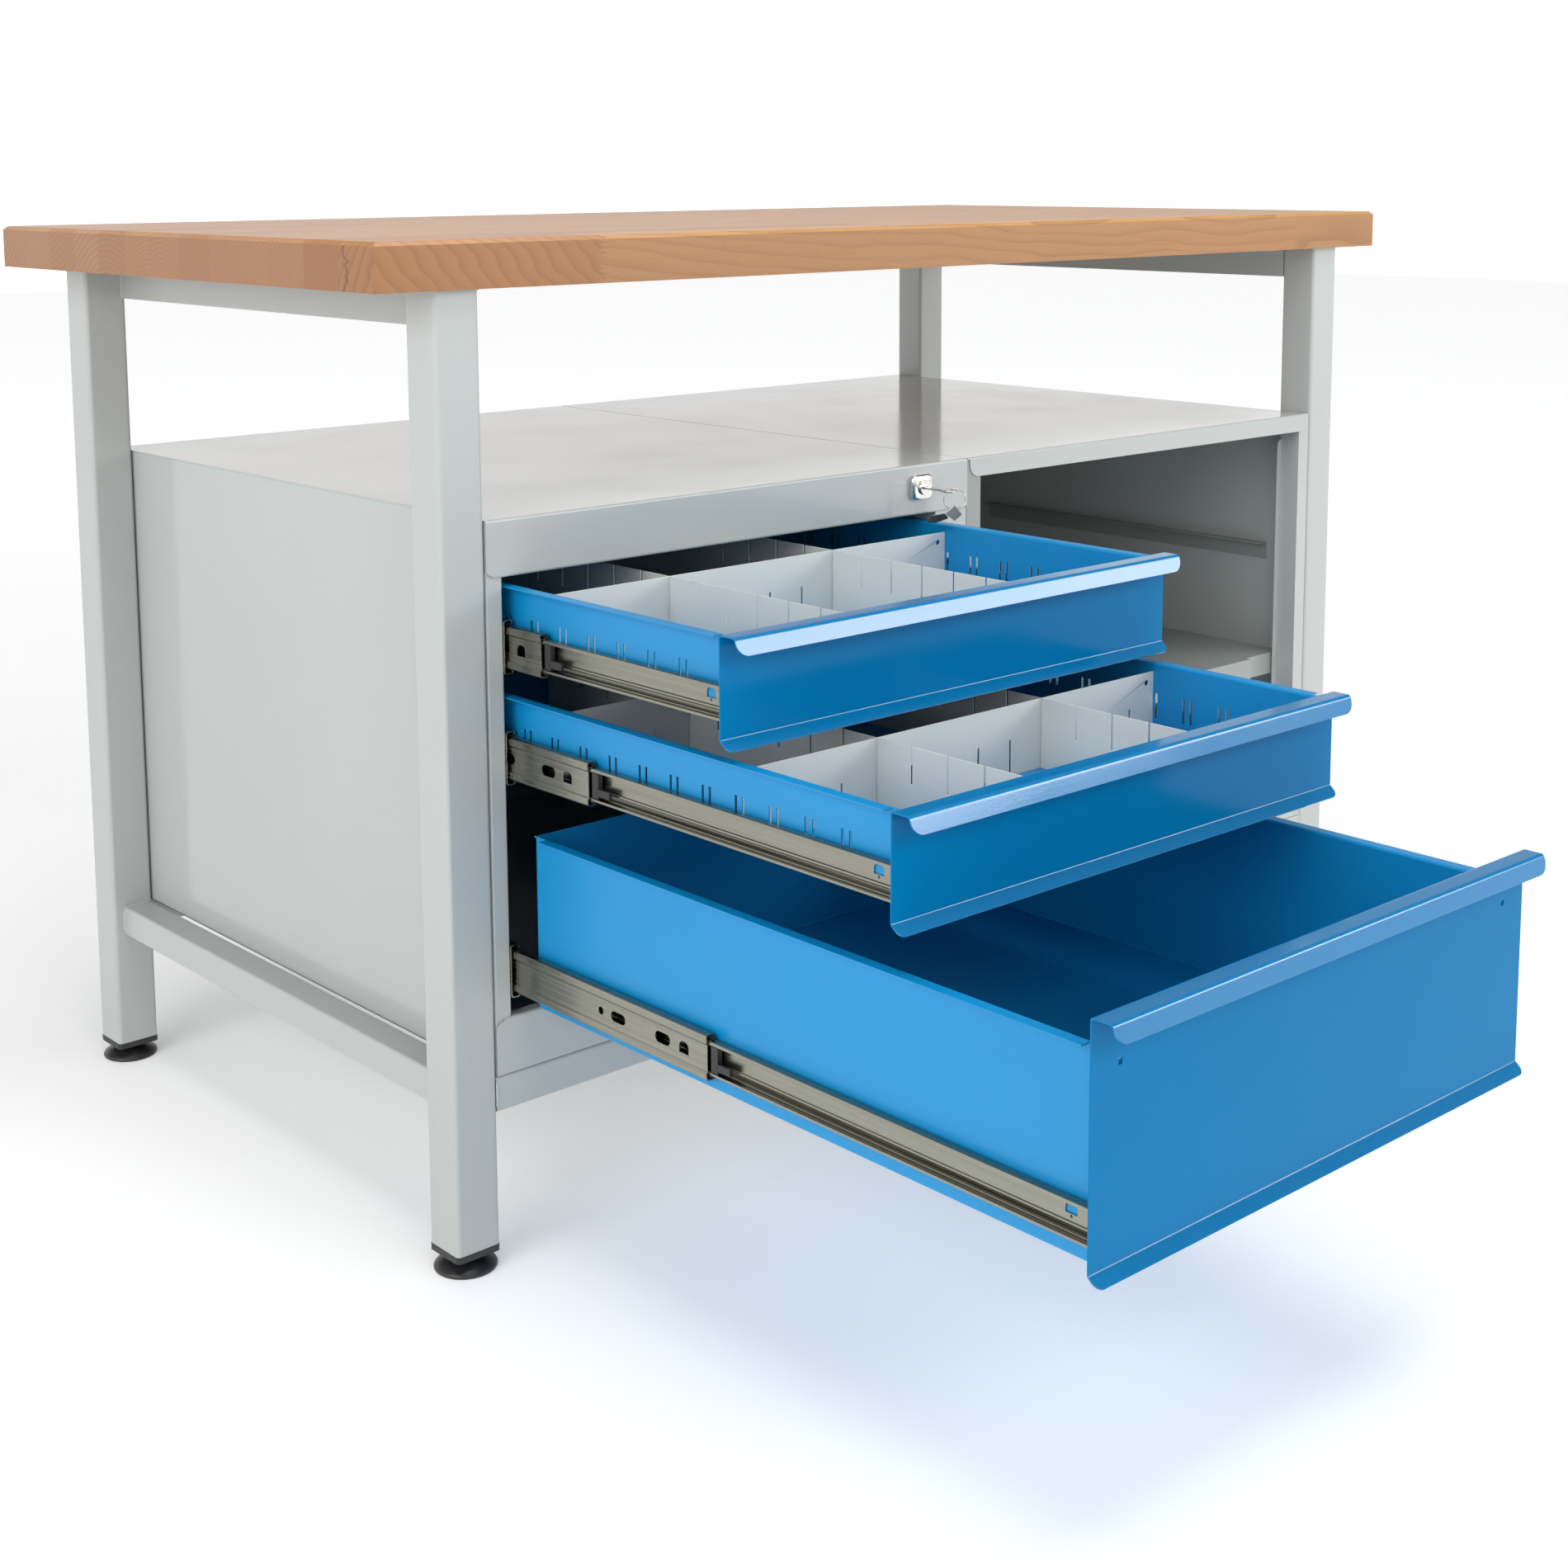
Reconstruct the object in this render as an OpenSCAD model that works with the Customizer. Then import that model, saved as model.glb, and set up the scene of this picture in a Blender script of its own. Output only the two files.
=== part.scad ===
// Workbench with a solid wood top, a welded tube frame, a cabinet of three
// drawers on telescopic slides and an open cabinet with one shelf.
// Millimetres. Origin on the floor under the middle of the frame; +X right, +Y back, +Z up.
// The drawers are drawn as far out as drawer_out says; that is the rest pose of every joint.

/* [Worktop] */
// Height of the bench, floor to worktop
bench_height = 850; // [800:5:950]
// Length of the worktop
top_length = 1310; // [1260:5:1600]
// Depth of the worktop
top_depth = 673; // [665:1:760]
// Thickness of the worktop
top_thick = 39; // [30:1:50]
// Chamfer round the worktop's upper edges
top_chamfer = 3.5; // [1:0.5:6]

/* [Frame] */
// Width over the outer faces of the legs
frame_width = 1196; // [1190:1:1250]
// Depth over the outer faces of the legs
frame_depth = 656; // [656:1:660]
// Side of the square leg tube
leg_size = 42; // [40:1:46]
// Side of the square lower rail tube
rail_size = 30; // [25:1:34]
// Wall of the leg and rail tubes
tube_wall = 2; // [1.5:0.25:3]
// Outer corner radius of the tubes
tube_corner = 4; // [3:0.5:5]
// Height of the angle bars under the worktop
top_rail_height = 33; // [25:1:40]
// Thickness of the angle bars under the worktop
top_rail_thick = 4; // [3:0.5:6]
// Lower end of the leg tubes above the floor
leg_bottom = 20; // [20:0.5:24]

/* [Levelling feet] */
// Radius of the foot pad
pad_radius = 26.5; // [22:0.5:30]
// Height of the foot pad with its hub
pad_height = 14.2; // [12:0.1:14.2]
// Radius of the threaded stud, taken at the thread's crest
stud_radius = 5; // [4:0.5:6]

/* [Cabinets] */
// Underside of both cabinets, which is the top of the lower rails
cabinet_low = 163.5; // [150:0.5:180]
// Top of both cabinets
cabinet_high = 626.5; // [626.5:0.5:640]
// Width of each cabinet
cabinet_width = 554.7; // [554:0.1:555]
// Thickness of the cabinet sheet
sheet = 1.2; // [1:0.1:1.5]
// Lower edge of the strip above the drawers
fascia_low = 579; // [577:0.5:585]
// Upper edge of the panel below the drawers
plinth_high = 212; // [200:0.5:213]
// Height of the open cabinet's front flange
flange_height = 19; // [15:1:25]
// Top of the shelf
shelf_top = 352; // [300:1:420]
// Top of the spare pair of ledges for the shelf
spare_ledge_top = 474; // [440:1:560]

/* [Drawers] */
// How far each drawer is drawn out, from the top one down
drawer_out = [270, 445, 619]; // [0:1:619]
// Upper edge of each drawer's front
front_high = [574, 482, 390]; // [380:0.5:580]
// Fold at the lower edge of each drawer's front
front_low = [496, 404, 222]; // [215:0.5:500]
// Underside of each drawer's box
box_low = [505, 413, 221]; // [215:0.5:510]
// Top of each drawer's box
box_high = [571, 479.5, 367.5]; // [360:0.5:575]
// Centre height of each drawer's slides
slide_height = [521, 429, 249]; // [245:0.5:525]
// Depth of the drawer box
box_depth = 598; // [560:1:600]
// Thickness of the drawer front's sheet
front_sheet = 1.2; // [1:0.1:1.5]
// Thickness of the drawer box's sheet
box_sheet = 1; // [0.8:0.1:1.2]

/* [Slides] */
// Length of the cabinet and drawer members
slide_length = 596; // [560:1:596]
// Length of the intermediate members
middle_length = 560; // [500:1:560]
// How far each intermediate member is drawn out, from the top slide down
middle_out = [48, 107.5, 248.5]; // [0:0.5:250]
// Thickness of the slide steel
slide_sheet = 1.2; // [1:0.1:1.3]

/* [Lock] */
// Angle of the key, which lifts the locking bar
lock_angle = 90; // [90:1:90]
// Lift of the locking bar
lock_lift = 10; // [8:0.5:10]

/* [Hidden] */
$fn = 48;
eps = 1;
grey = "gainsboro";
blue = "dodgerblue";
zinc = "silver";
black = "#222222";

frame_x = frame_width / 2;
frame_y = frame_depth / 2;
leg_x = frame_x - leg_size / 2;
leg_y = frame_y - leg_size / 2;
leg_top = bench_height - top_thick;
leg_inner_x = frame_x - leg_size;
leg_inner_y = frame_y - leg_size;
rail_low = cabinet_low - rail_size;

cap_low = 14.5;
cap_plug = 24;
cap_gap = 0.3;
stud_gap = 0.05;
stud_top = 62;

front_y = -frame_y;
back_y = frame_y;
jamb_y = front_y + 1.8;
left_x = -cabinet_width;
slide_gap = 12.7;
box_left = -525.8;
box_right = -54.7;
slide_left = box_left - slide_gap;
slide_right = box_right + slide_gap;
front_left = slide_left - 2;
front_right = slide_right + 2;
box_front_y = front_y + front_sheet;
post_y = [225, 275];
return_depth = 40;
open_jamb = [19.4, 17.3];
ledge_leg = [14, 19];
ledge_y = [-275, 155];

handle_out = 16;
handle_lip = [4.5, 13];
handle_corner = 8;
foot_lip = [8, 7.5];
foot_corner = 7;
flange_out = 10;
flange_start = 11;
tab_width = 12;
slot_pitch = 37.5;
slot_first = 58;
slot_pair = 8;
slot_width = 2;
slot_length = 22;
slot_drop = 26;
slot_rows = [0:13];

divider_sheet = 1;
divider_drop = 7;
divider_slit = 2;
long_divider_x = [-387.5, -200];
cross_rows = [[5], [3, 9]];
cross_slits = [-8:3];
cross_hole = 2.5;
cross_hole_inset = 9;

slide_screw_y = [-305, 250];
slide_screw_radius = 2;
member_half = [22.5, 18, 13.5];
member_flange = [9, 8, 8.1];
member_lip = [3.6, 3.6, 2.4];
middle_web = 2.2;
middle_windows = [[24, 33, 4], [44, 62, 5], [99, 117, 5], [middle_length - 60, middle_length - 42, 5]];
drawer_windows = [[17, 27, 4, 4.2], [slide_length - 40, slide_length - 20, 0, 4]];
drawer_notch = [[19, -6], [24, -3]];
drawer_end_tab = [-11, 8];
drawer_member_y = 2.5;

stop_from = 3.5;
stop_plate = [-3, 16];
stop_block = [-10, 4];
stop_tongue = [-24, -10];
stop_tongue_z = [-8, -2];
stop_thick = [0.8, 6, 3, 5];
stop_gap = 0.5;

worktop_screw_y = [-200, 0, 200];
worktop_screw_radius = 3;
worktop_screw_bite = 25;
worktop_screw_x = leg_inner_x - 14;
cabinet_bolt_z = [271, 585];
cabinet_bolt_radius = 3;
joining_bolt_y = [-200, 200];
joining_bolt_z = [300, 560];

lock_x = -66;
lock_z = 605.5;
core_radius = 7;
housing_size = [27, 24];
housing_corner = 5;
housing_depth = 7.5;
housing_dome = 26;
barrel_radius = 9;
core_face_y = front_y - 9.5;
barrel_end_y = front_y + 24;
cam_reach = lock_lift / (2 * sin(lock_angle / 2));
cam_pin_radius = 1.5;
cam_pin_length = 3.2;
cam_hub_radius = 5;
cam_arm_half = 3;
cam_pin_gap = 0.5;
cam_pin_x = lock_x - cam_reach * cos(lock_angle / 2);
cam_pin_z = lock_z - lock_lift / 2;
cam_low_y = barrel_end_y + 0.3;
cam_thick = 1.8;
bar_x = [-38.5, -36.5];
bar_y = [front_y + 6, front_y + 22];
bar_low = 330;
hook_low = [545.5, 453.5, 340];
hook_height = 8;
hook_y = [front_y + 4, front_y + 8];
hook_tip_x = -50.5;
lug_y = [front_y + 10, front_y + 13];
lug_tip_x = -47.5;
key_blade = [8, 2, 26];
key_gap = 0.3;
bow_y = front_y - 39;
bow_radius = 7.2;
bow_hole = 3.5;
ring_radius = 10;
wire_radius = 0.8;
ring_angle = -41.8;
ring_shift = 5.2;
ring_z = lock_z - 7.9;
clip_outline = [[0, -5], [7, -14], [0, -20], [-9, -13]];
clip_thick = 4;
clip_gap = 0.3;
spare_key_outline = [[-5, -17.4], [-9.4, -13.2], [-22, -15.5], [-27, -21.5], [-18, -22]];
spare_key_thick = 3.6;

// ---- helpers -------------------------------------------------------------

// Box from its lowest corner to its highest
module block(low, high) {
    translate(low) cube(high - low);
}

// A flat outline drawn in (y, z), carried along X
module along_x(x0, x1) {
    translate([x0, 0, 0]) rotate([90, 0, 90]) linear_extrude(x1 - x0) children();
}

// A flat outline drawn in (x, z), carried along Y
module along_y(y0, y1) {
    translate([0, y1, 0]) rotate([90, 0, 0]) linear_extrude(y1 - y0) children();
}

// A flat outline drawn in (x, y), carried along Z
module along_z(z0, z1) {
    translate([0, 0, z0]) linear_extrude(z1 - z0) children();
}

// Rod along X, Y or Z from a start to an end on that axis
module rod_x(x0, x1, y, z, r) {
    translate([x0, y, z]) rotate([0, 90, 0]) cylinder(h = x1 - x0, r = r);
}

module rod_y(y0, y1, x, z, r) {
    translate([x, y1, z]) rotate([90, 0, 0]) cylinder(h = y1 - y0, r = r);
}

module rod_z(z0, z1, x, y, r) {
    translate([x, y, z0]) cylinder(h = z1 - z0, r = r);
}

// Rectangle from corner to corner
module span(low, high) {
    translate(low) square(high - low);
}

// Rectangle with round corners, about its centre
module round_rect(w, d, r) {
    square([w - 2 * r, d], center = true);
    square([w, d - 2 * r], center = true);
    for (sx = [-1, 1], sy = [-1, 1])
        translate([sx * (w / 2 - r), sy * (d / 2 - r)]) circle(r);
}

// What is cut away to round the corner at p, which points along s
module corner_waste(p, s, r) {
    difference() {
        translate(p - r * s) scale_signs(s) square(r + eps);
        translate(p - r * s) circle(r);
    }
}

// Mirrors its child into the quadrant that s points to
module scale_signs(s) {
    mirror([s[0] < 0 ? 1 : 0, 0]) mirror([0, s[1] < 0 ? 1 : 0]) children();
}

function unit(v) = v / norm(v);
function edge_normal(p, i) = let(d = unit(p[i + 1] - p[i])) [-d[1], d[0]];

// Offset direction at a point of a bent line, longer at a bend so that the sheet keeps its thickness
function mitre(p, i) =
    i == 0 ? edge_normal(p, 0)
    : i == len(p) - 1 ? edge_normal(p, i - 1)
    : let(a = edge_normal(p, i - 1), b = edge_normal(p, i)) (a + b) / (1 + a * b);

// Bent sheet: a line of thickness t through the points
module bent_line(points, t) {
    last = len(points) - 1;
    polygon(concat(
        [for (i = [0:last]) points[i] + mitre(points, i) * t / 2],
        [for (i = [last:-1:0]) points[i] - mitre(points, i) * t / 2]));
}

// The same shape on the left and the right of the bench
module both_sides() {
    children();
    mirror([1, 0, 0]) children();
}

// The same shape on the left and the right of the drawers
module both_slides() {
    children();
    translate([slide_left + slide_right, 0, 0]) mirror([1, 0, 0]) children();
}

module drawn_out(distance) {
    translate([0, -distance, 0]) children();
}

// ---- worktop and frame ---------------------------------------------------

module chamfered_end(half, low, high, c) {
    polygon([
        [-half, low], [half, low], [half, high - c],
        [half - c, high], [-half + c, high], [-half, high - c],
    ]);
}

module worktop() {
    hx = top_length / 2;
    hy = top_depth / 2;
    color("burlywood") difference() {
        intersection() {
            along_x(-hx, hx) chamfered_end(hy, leg_top, bench_height, top_chamfer);
            along_y(-hy, hy) chamfered_end(hx, leg_top, bench_height, top_chamfer);
        }
        worktop_screw_shanks();
    }
}

module leg(sx, sy) {
    bolt_side = [leg_inner_x - eps, leg_inner_x + tube_wall + eps];
    color(grey) difference() {
        translate([sx * leg_x, sy * leg_y, 0]) along_z(leg_bottom, leg_top) difference() {
            round_rect(leg_size, leg_size, tube_corner);
            round_rect(leg_size - 2 * tube_wall, leg_size - 2 * tube_wall, tube_corner - tube_wall);
        }
        for (z = cabinet_bolt_z)
            mirror([sx < 0 ? 1 : 0, 0, 0])
                rod_x(bolt_side[0], bolt_side[1], sy * leg_y, z, cabinet_bolt_radius);
    }
}

// Angle bar under the worktop, welded between the front and rear legs
module top_rail() {
    web = [-leg_inner_x - top_rail_thick, -leg_inner_x];
    low = leg_top - top_rail_height;
    color(grey) difference() {
        union() {
            block([web[0], -leg_inner_y, low], [web[1], leg_inner_y, leg_top]);
            block([web[0], -leg_inner_y, leg_top - top_rail_thick],
                  [web[0] + top_rail_height, leg_inner_y, leg_top]);
        }
        worktop_screw_shanks();
    }
}

module tube_outline() {
    difference() {
        round_rect(rail_size, rail_size, tube_corner - 1);
        round_rect(rail_size - 2 * tube_wall, rail_size - 2 * tube_wall, tube_corner - 1 - tube_wall / 2);
    }
}

module side_rail() {
    color(grey) translate([-leg_inner_x - 1 - rail_size / 2, 0, rail_low + rail_size / 2])
        along_y(-leg_inner_y, leg_inner_y) tube_outline();
}

module cross_rail(sy) {
    color(grey) translate([0, sy * (frame_y - rail_size / 2), rail_low + rail_size / 2])
        along_x(-leg_inner_x, leg_inner_x) tube_outline();
}

module leg_end_caps() {
    plug = leg_size - 2 * tube_wall - 2 * cap_gap;
    color(black) for (sx = [-1, 1], sy = [-1, 1])
        translate([sx * leg_x, sy * leg_y, 0]) difference() {
            union() {
                along_z(cap_low, leg_bottom) round_rect(leg_size + 0.6, leg_size + 0.6, tube_corner);
                along_z(leg_bottom, leg_bottom + cap_plug) round_rect(plug, plug, tube_corner / 2);
            }
            rod_z(cap_low - eps, leg_bottom + cap_plug + eps, 0, 0, stud_radius + stud_gap);
        }
}

// Shanks of the screws that hold the worktop, used for the screws and their holes
module worktop_screw_shanks() {
    both_sides() for (y = worktop_screw_y)
        rod_z(leg_top - top_rail_thick, leg_top + worktop_screw_bite, -worktop_screw_x, y,
              worktop_screw_radius);
}

module worktop_screws() {
    head = 3;
    color(zinc) {
        worktop_screw_shanks();
        both_sides() for (y = worktop_screw_y)
            rod_z(leg_top - top_rail_thick - head, leg_top - top_rail_thick, -worktop_screw_x, y,
                  2 * worktop_screw_radius);
    }
}

// Bolts from inside the cabinets into the legs, with a spacer in the gap, and the
// bolts that join the two cabinets
module cabinet_bolts() {
    r = cabinet_bolt_radius;
    head = 3.5;
    inner = cabinet_width - sheet;
    color(zinc) {
        both_sides() for (y = [-leg_y, leg_y], z = cabinet_bolt_z) {
            rod_x(-leg_inner_x - tube_wall, -inner, y, z, r);
            rod_x(-leg_inner_x, -cabinet_width, y, z, 2 * r);
            rod_x(-inner, -inner + head, y, z, 1.8 * r);
        }
        for (y = joining_bolt_y, z = joining_bolt_z) {
            rod_x(-sheet, sheet, y, z, r);
            rod_x(-sheet - head, -sheet, y, z, 1.8 * r);
            rod_x(sheet, sheet + head, y, z, 1.8 * r);
        }
    }
}

module cabinet_bolt_holes() {
    both_sides() for (y = [-leg_y, leg_y], z = cabinet_bolt_z)
        rod_x(-cabinet_width - eps, -cabinet_width + sheet + eps, y, z, cabinet_bolt_radius);
    for (y = joining_bolt_y, z = joining_bolt_z)
        rod_x(-sheet - eps, sheet + eps, y, z, cabinet_bolt_radius);
}

// Levelling foot: a domed pad moulded on a threaded stud
module foot(sx, sy) {
    hub = 9;
    rim = 2.5;
    dome = pad_height - 3 - rim;
    steps = 7;
    color(black) translate([sx * leg_x, sy * leg_y, 0]) {
        rotate_extrude() polygon(concat(
            [[0, 0], [pad_radius - 1.5, 0], [pad_radius, 1.2]],
            [for (i = [0:steps]) [hub + (pad_radius - hub) * cos(90 * i / steps),
                                  rim + dome * sin(90 * i / steps)]],
            [[hub, pad_height], [0, pad_height]]));
        rod_z(pad_height, stud_top, 0, 0, stud_radius);
    }
}

// ---- drawer cabinet ------------------------------------------------------

side_top = cabinet_high - sheet;
inner_left = left_x + sheet;
rear_inner_y = back_y - sheet;

module slide_screw_holes() {
    for (z = slide_height, y = slide_screw_y)
        rod_x(slide_left - 3, slide_right + 3, y, z, slide_screw_radius);
}

// Left side with its front folded round into the jamb that carries the slides
module drawer_cabinet_left_side() {
    color(grey) difference() {
        along_z(cabinet_low, side_top) {
            span([left_x, jamb_y], [inner_left, rear_inner_y]);
            span([left_x, jamb_y], [slide_left, jamb_y + sheet]);
            span([slide_left - sheet, jamb_y], [slide_left, jamb_y + return_depth]);
        }
        cabinet_bolt_holes();
        slide_screw_holes();
    }
}

// Right side; its wide jamb hides the locking bar, whose hooks reach through slots
module drawer_cabinet_right_side() {
    color(grey) difference() {
        union() {
            along_z(cabinet_low, side_top) {
                span([-sheet, jamb_y], [0, rear_inner_y]);
                span([slide_right, jamb_y], [0, jamb_y + sheet]);
            }
            along_z(cabinet_low, fascia_low)
                span([slide_right, jamb_y], [slide_right + sheet, jamb_y + return_depth]);
        }
        for (z = hook_low)
            block([slide_right - eps, hook_y[0] - 0.8, z - 1],
                  [slide_right + sheet + eps, hook_y[1] + 0.8, z + hook_height + lock_lift + 1]);
        cabinet_bolt_holes();
        slide_screw_holes();
    }
}

module drawer_cabinet_top() {
    lip = 14;
    color(grey) difference() {
        union() {
            block([left_x, front_y, side_top], [0, back_y, cabinet_high]);
            block([left_x, back_y - sheet, cabinet_high - 20], [0, back_y, cabinet_high]);
            along_y(front_y, front_y + sheet) difference() {
                span([left_x, fascia_low], [0, cabinet_high]);
                corner_waste([left_x, fascia_low], [-1, -1], 6);
            }
            block([left_x + 10, front_y, fascia_low], [-4, front_y + lip, fascia_low + sheet]);
        }
        rod_y(front_y - eps, front_y + sheet + eps, lock_x, lock_z, barrel_radius);
        block([slide_right - 1, jamb_y - 0.2, fascia_low - eps],
              [0, front_y + lip + eps, fascia_low + sheet + eps]);
        block([left_x - eps, jamb_y - 0.2, fascia_low - eps],
              [slide_left + 1, front_y + lip + eps, fascia_low + sheet + eps]);
    }
}

module drawer_cabinet_bottom() {
    lip = 12;
    color(grey) {
        block([inner_left, jamb_y + return_depth, cabinet_low],
              [-sheet, rear_inner_y, cabinet_low + sheet]);
        block([slide_left, front_y, cabinet_low],
              [slide_right, jamb_y + return_depth, cabinet_low + sheet]);
        along_y(front_y, front_y + sheet) difference() {
            span([left_x, cabinet_low], [0, plinth_high]);
            corner_waste([left_x, plinth_high], [-1, 1], 8);
        }
        block([slide_left, front_y, plinth_high - sheet],
              [slide_right, front_y + lip, plinth_high]);
    }
}

module cabinet_back(x0, x1) {
    color(grey) {
        block([x0, rear_inner_y, cabinet_low], [x1, back_y, cabinet_high - 20]);
        block([x0 + sheet, rear_inner_y - sheet, cabinet_high - 32], [x1 - sheet, rear_inner_y, side_top]);
    }
}

// Upright channels at the back of the drawer cabinet that carry the slides
module slide_posts() {
    low = cabinet_low + sheet;
    color(grey) difference() {
        union() {
            along_z(low, fascia_low) {
                span([slide_left - sheet, post_y[0]], [slide_left, post_y[1]]);
                for (y = [post_y[0], post_y[1] - sheet])
                    span([inner_left, y], [slide_left, y + sheet]);
            }
            along_z(low, fascia_low) {
                span([slide_right, post_y[0]], [slide_right + sheet, post_y[1]]);
                for (y = [post_y[0], post_y[1] - sheet])
                    span([slide_right, y], [-sheet, y + sheet]);
            }
        }
        slide_screw_holes();
    }
}

// ---- open cabinet --------------------------------------------------------

open_jamb_y = front_y + sheet;

module shelf_cabinet_left_side() {
    color(grey) difference() {
        along_z(cabinet_low, side_top) {
            span([0, open_jamb_y], [sheet, rear_inner_y]);
            span([0, open_jamb_y], [open_jamb[0], open_jamb_y + sheet]);
            span([open_jamb[0] - sheet, open_jamb_y], [open_jamb[0], open_jamb_y + 25]);
        }
        cabinet_bolt_holes();
    }
}

module shelf_cabinet_right_side() {
    x1 = cabinet_width;
    x0 = x1 - open_jamb[1];
    lip = 6;
    color(grey) difference() {
        union() {
            along_z(cabinet_low, side_top) {
                span([x1 - sheet, open_jamb_y], [x1, rear_inner_y]);
                span([x0, open_jamb_y], [x1, open_jamb_y + sheet]);
                span([x0, open_jamb_y], [x0 + sheet, open_jamb_y + 25]);
            }
            along_y(open_jamb_y + 25 - sheet, open_jamb_y + 25) difference() {
                span([x0 - lip, cabinet_low + flange_height + 4], [x0, side_top - flange_height - 10]);
                corner_waste([x0 - lip, side_top - flange_height - 10], [-1, 1], lip);
            }
        }
        cabinet_bolt_holes();
    }
}

module shelf_cabinet_top() {
    ends = 3;
    low = cabinet_high - flange_height;
    color(grey) {
        block([0, front_y, side_top], [cabinet_width, back_y, cabinet_high]);
        block([0, back_y - sheet, cabinet_high - 20], [cabinet_width, back_y, cabinet_high]);
        along_y(front_y, open_jamb_y) difference() {
            span([ends, low], [cabinet_width - ends, cabinet_high]);
            corner_waste([ends, low], [-1, -1], 12);
            corner_waste([cabinet_width - ends, low], [1, -1], 12);
        }
    }
}

module shelf_cabinet_bottom() {
    x0 = open_jamb[0];
    x1 = cabinet_width - open_jamb[1];
    turn_y = open_jamb_y + 25;
    color(grey) {
        block([sheet, turn_y, cabinet_low], [cabinet_width - sheet, rear_inner_y, cabinet_low + sheet]);
        block([x0, front_y, cabinet_low], [x1, turn_y, cabinet_low + sheet]);
        block([0, front_y, cabinet_low], [cabinet_width, open_jamb_y, cabinet_low + flange_height]);
    }
}

module shelf() {
    y0 = front_y + 22;
    y1 = open_jamb_y + 27;
    fold = 24;
    notch = 68;
    back_gap = 3;
    low = shelf_top - fold;
    x = [sheet + 1, cabinet_width - sheet - 1];
    color(grey) {
        block([x[0], y1, shelf_top - sheet], [x[1], rear_inner_y - back_gap, shelf_top]);
        block([notch, y0, shelf_top - sheet], [cabinet_width - notch, y1, shelf_top]);
        block([notch, y0, low], [cabinet_width - notch, y0 + sheet, shelf_top]);
        block([notch, y0, low], [cabinet_width - notch, y0 + fold / 2, low + sheet]);
        for (side = [[x[0] + 16, notch], [cabinet_width - notch, x[1] - 16]])
            block([side[0], y1, low], [side[1], y1 + sheet, shelf_top]);
    }
}

// Angle ledges on both walls of the open cabinet: one pair carries the shelf
module shelf_ledges() {
    leg = ledge_leg;
    y0 = ledge_y[0];
    y1 = ledge_y[1];
    color(grey) for (top = [shelf_top - sheet, spare_ledge_top]) {
        for (wall = [[sheet, sheet, sheet + leg[0]],
                     [cabinet_width - 2 * sheet, cabinet_width - sheet - leg[0], cabinet_width - sheet]]) {
            block([wall[1], y0, top - sheet], [wall[2], y1, top]);
            block([wall[0], y0, top - leg[1]], [wall[0] + sheet, y1, top]);
        }
    }
}

// ---- slides --------------------------------------------------------------

// The three members of a slide, drawn in (u, z): u is the distance from the
// mounting face, and z is counted from the slide's centre
module cabinet_member_outline() {
    h = member_half[0];
    t = slide_sheet;
    span([0, -h], [t, h]);
    for (s = [0, 1]) mirror([0, s]) {
        span([0, h - t], [member_flange[0], h]);
        span([member_flange[0] - t, h - member_lip[0]], [member_flange[0], h]);
    }
}

module middle_member_outline() {
    h = member_half[1];
    t = slide_sheet;
    u = middle_web;
    edge = u + member_flange[1];
    span([u, -h], [u + t, h]);
    for (s = [0, 1]) mirror([0, s]) {
        span([u, h - t], [edge, h]);
        span([edge - t, h - member_lip[1]], [edge, h]);
    }
}

module drawer_member_outline() {
    h = member_half[2];
    t = slide_sheet;
    edge = slide_gap - member_flange[2];
    span([slide_gap - t, -h], [slide_gap, h]);
    for (s = [0, 1]) mirror([0, s]) {
        span([edge, h - t], [slide_gap, h]);
        span([edge, h - member_lip[2]], [edge + t / 2, h]);
    }
}

module at_slide(i) {
    both_slides() translate([slide_left, 0, slide_height[i]]) children();
}

module cabinet_slide_members() {
    color(zinc) difference() {
        for (i = [0:2]) at_slide(i) along_y(jamb_y, jamb_y + slide_length) cabinet_member_outline();
        slide_screw_holes();
    }
}

module slide_screws() {
    head = 0.6;
    color(zinc) for (i = [0:2], y = slide_screw_y) at_slide(i) {
        rod_x(-sheet, slide_sheet, y, 0, slide_screw_radius);
        rod_x(slide_sheet, slide_sheet + head, y, 0, 1.7 * slide_screw_radius);
    }
}

// Window with round ends in a slide's web, cut along X
module web_window(y0, y1, z, half) {
    along_x(0, slide_gap + eps) {
        span([y0 + half, z - half], [y1 - half, z + half]);
        for (y = [y0 + half, y1 - half]) translate([y, z]) circle(half);
    }
}

function middle_front(i) = front_y + 3 - middle_out[i];

module middle_slide_members(i) {
    y0 = middle_front(i);
    color(zinc) at_slide(i) difference() {
        along_y(y0, y0 + middle_length) middle_member_outline();
        for (w = middle_windows) web_window(y0 + w[0], y0 + w[1], 0, w[2]);
    }
}

// Black plastic guide at the front end of each intermediate member
module slide_stops(i) {
    y0 = middle_front(i);
    u = stop_from;
    half = member_half[1] - slide_sheet - stop_gap;
    channel = member_half[2] - member_lip[2] - stop_gap;
    color(black) at_slide(i) {
        block([u, y0 + stop_plate[0], -half], [u + stop_thick[0], y0 + stop_plate[1], half]);
        block([u, y0 + stop_block[0], -channel], [u + stop_thick[1], y0 + stop_block[1], channel]);
        block([u, y0 + stop_tongue[0], stop_tongue_z[0]],
              [u + stop_thick[2], y0 + stop_tongue[1], stop_tongue_z[1]]);
        for (s = [0, 1]) mirror([0, 0, s])
            block([u, y0 + stop_plate[0], member_half[2] + stop_gap],
                  [u + stop_thick[3], y0 + stop_plate[1], half]);
    }
}

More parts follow.
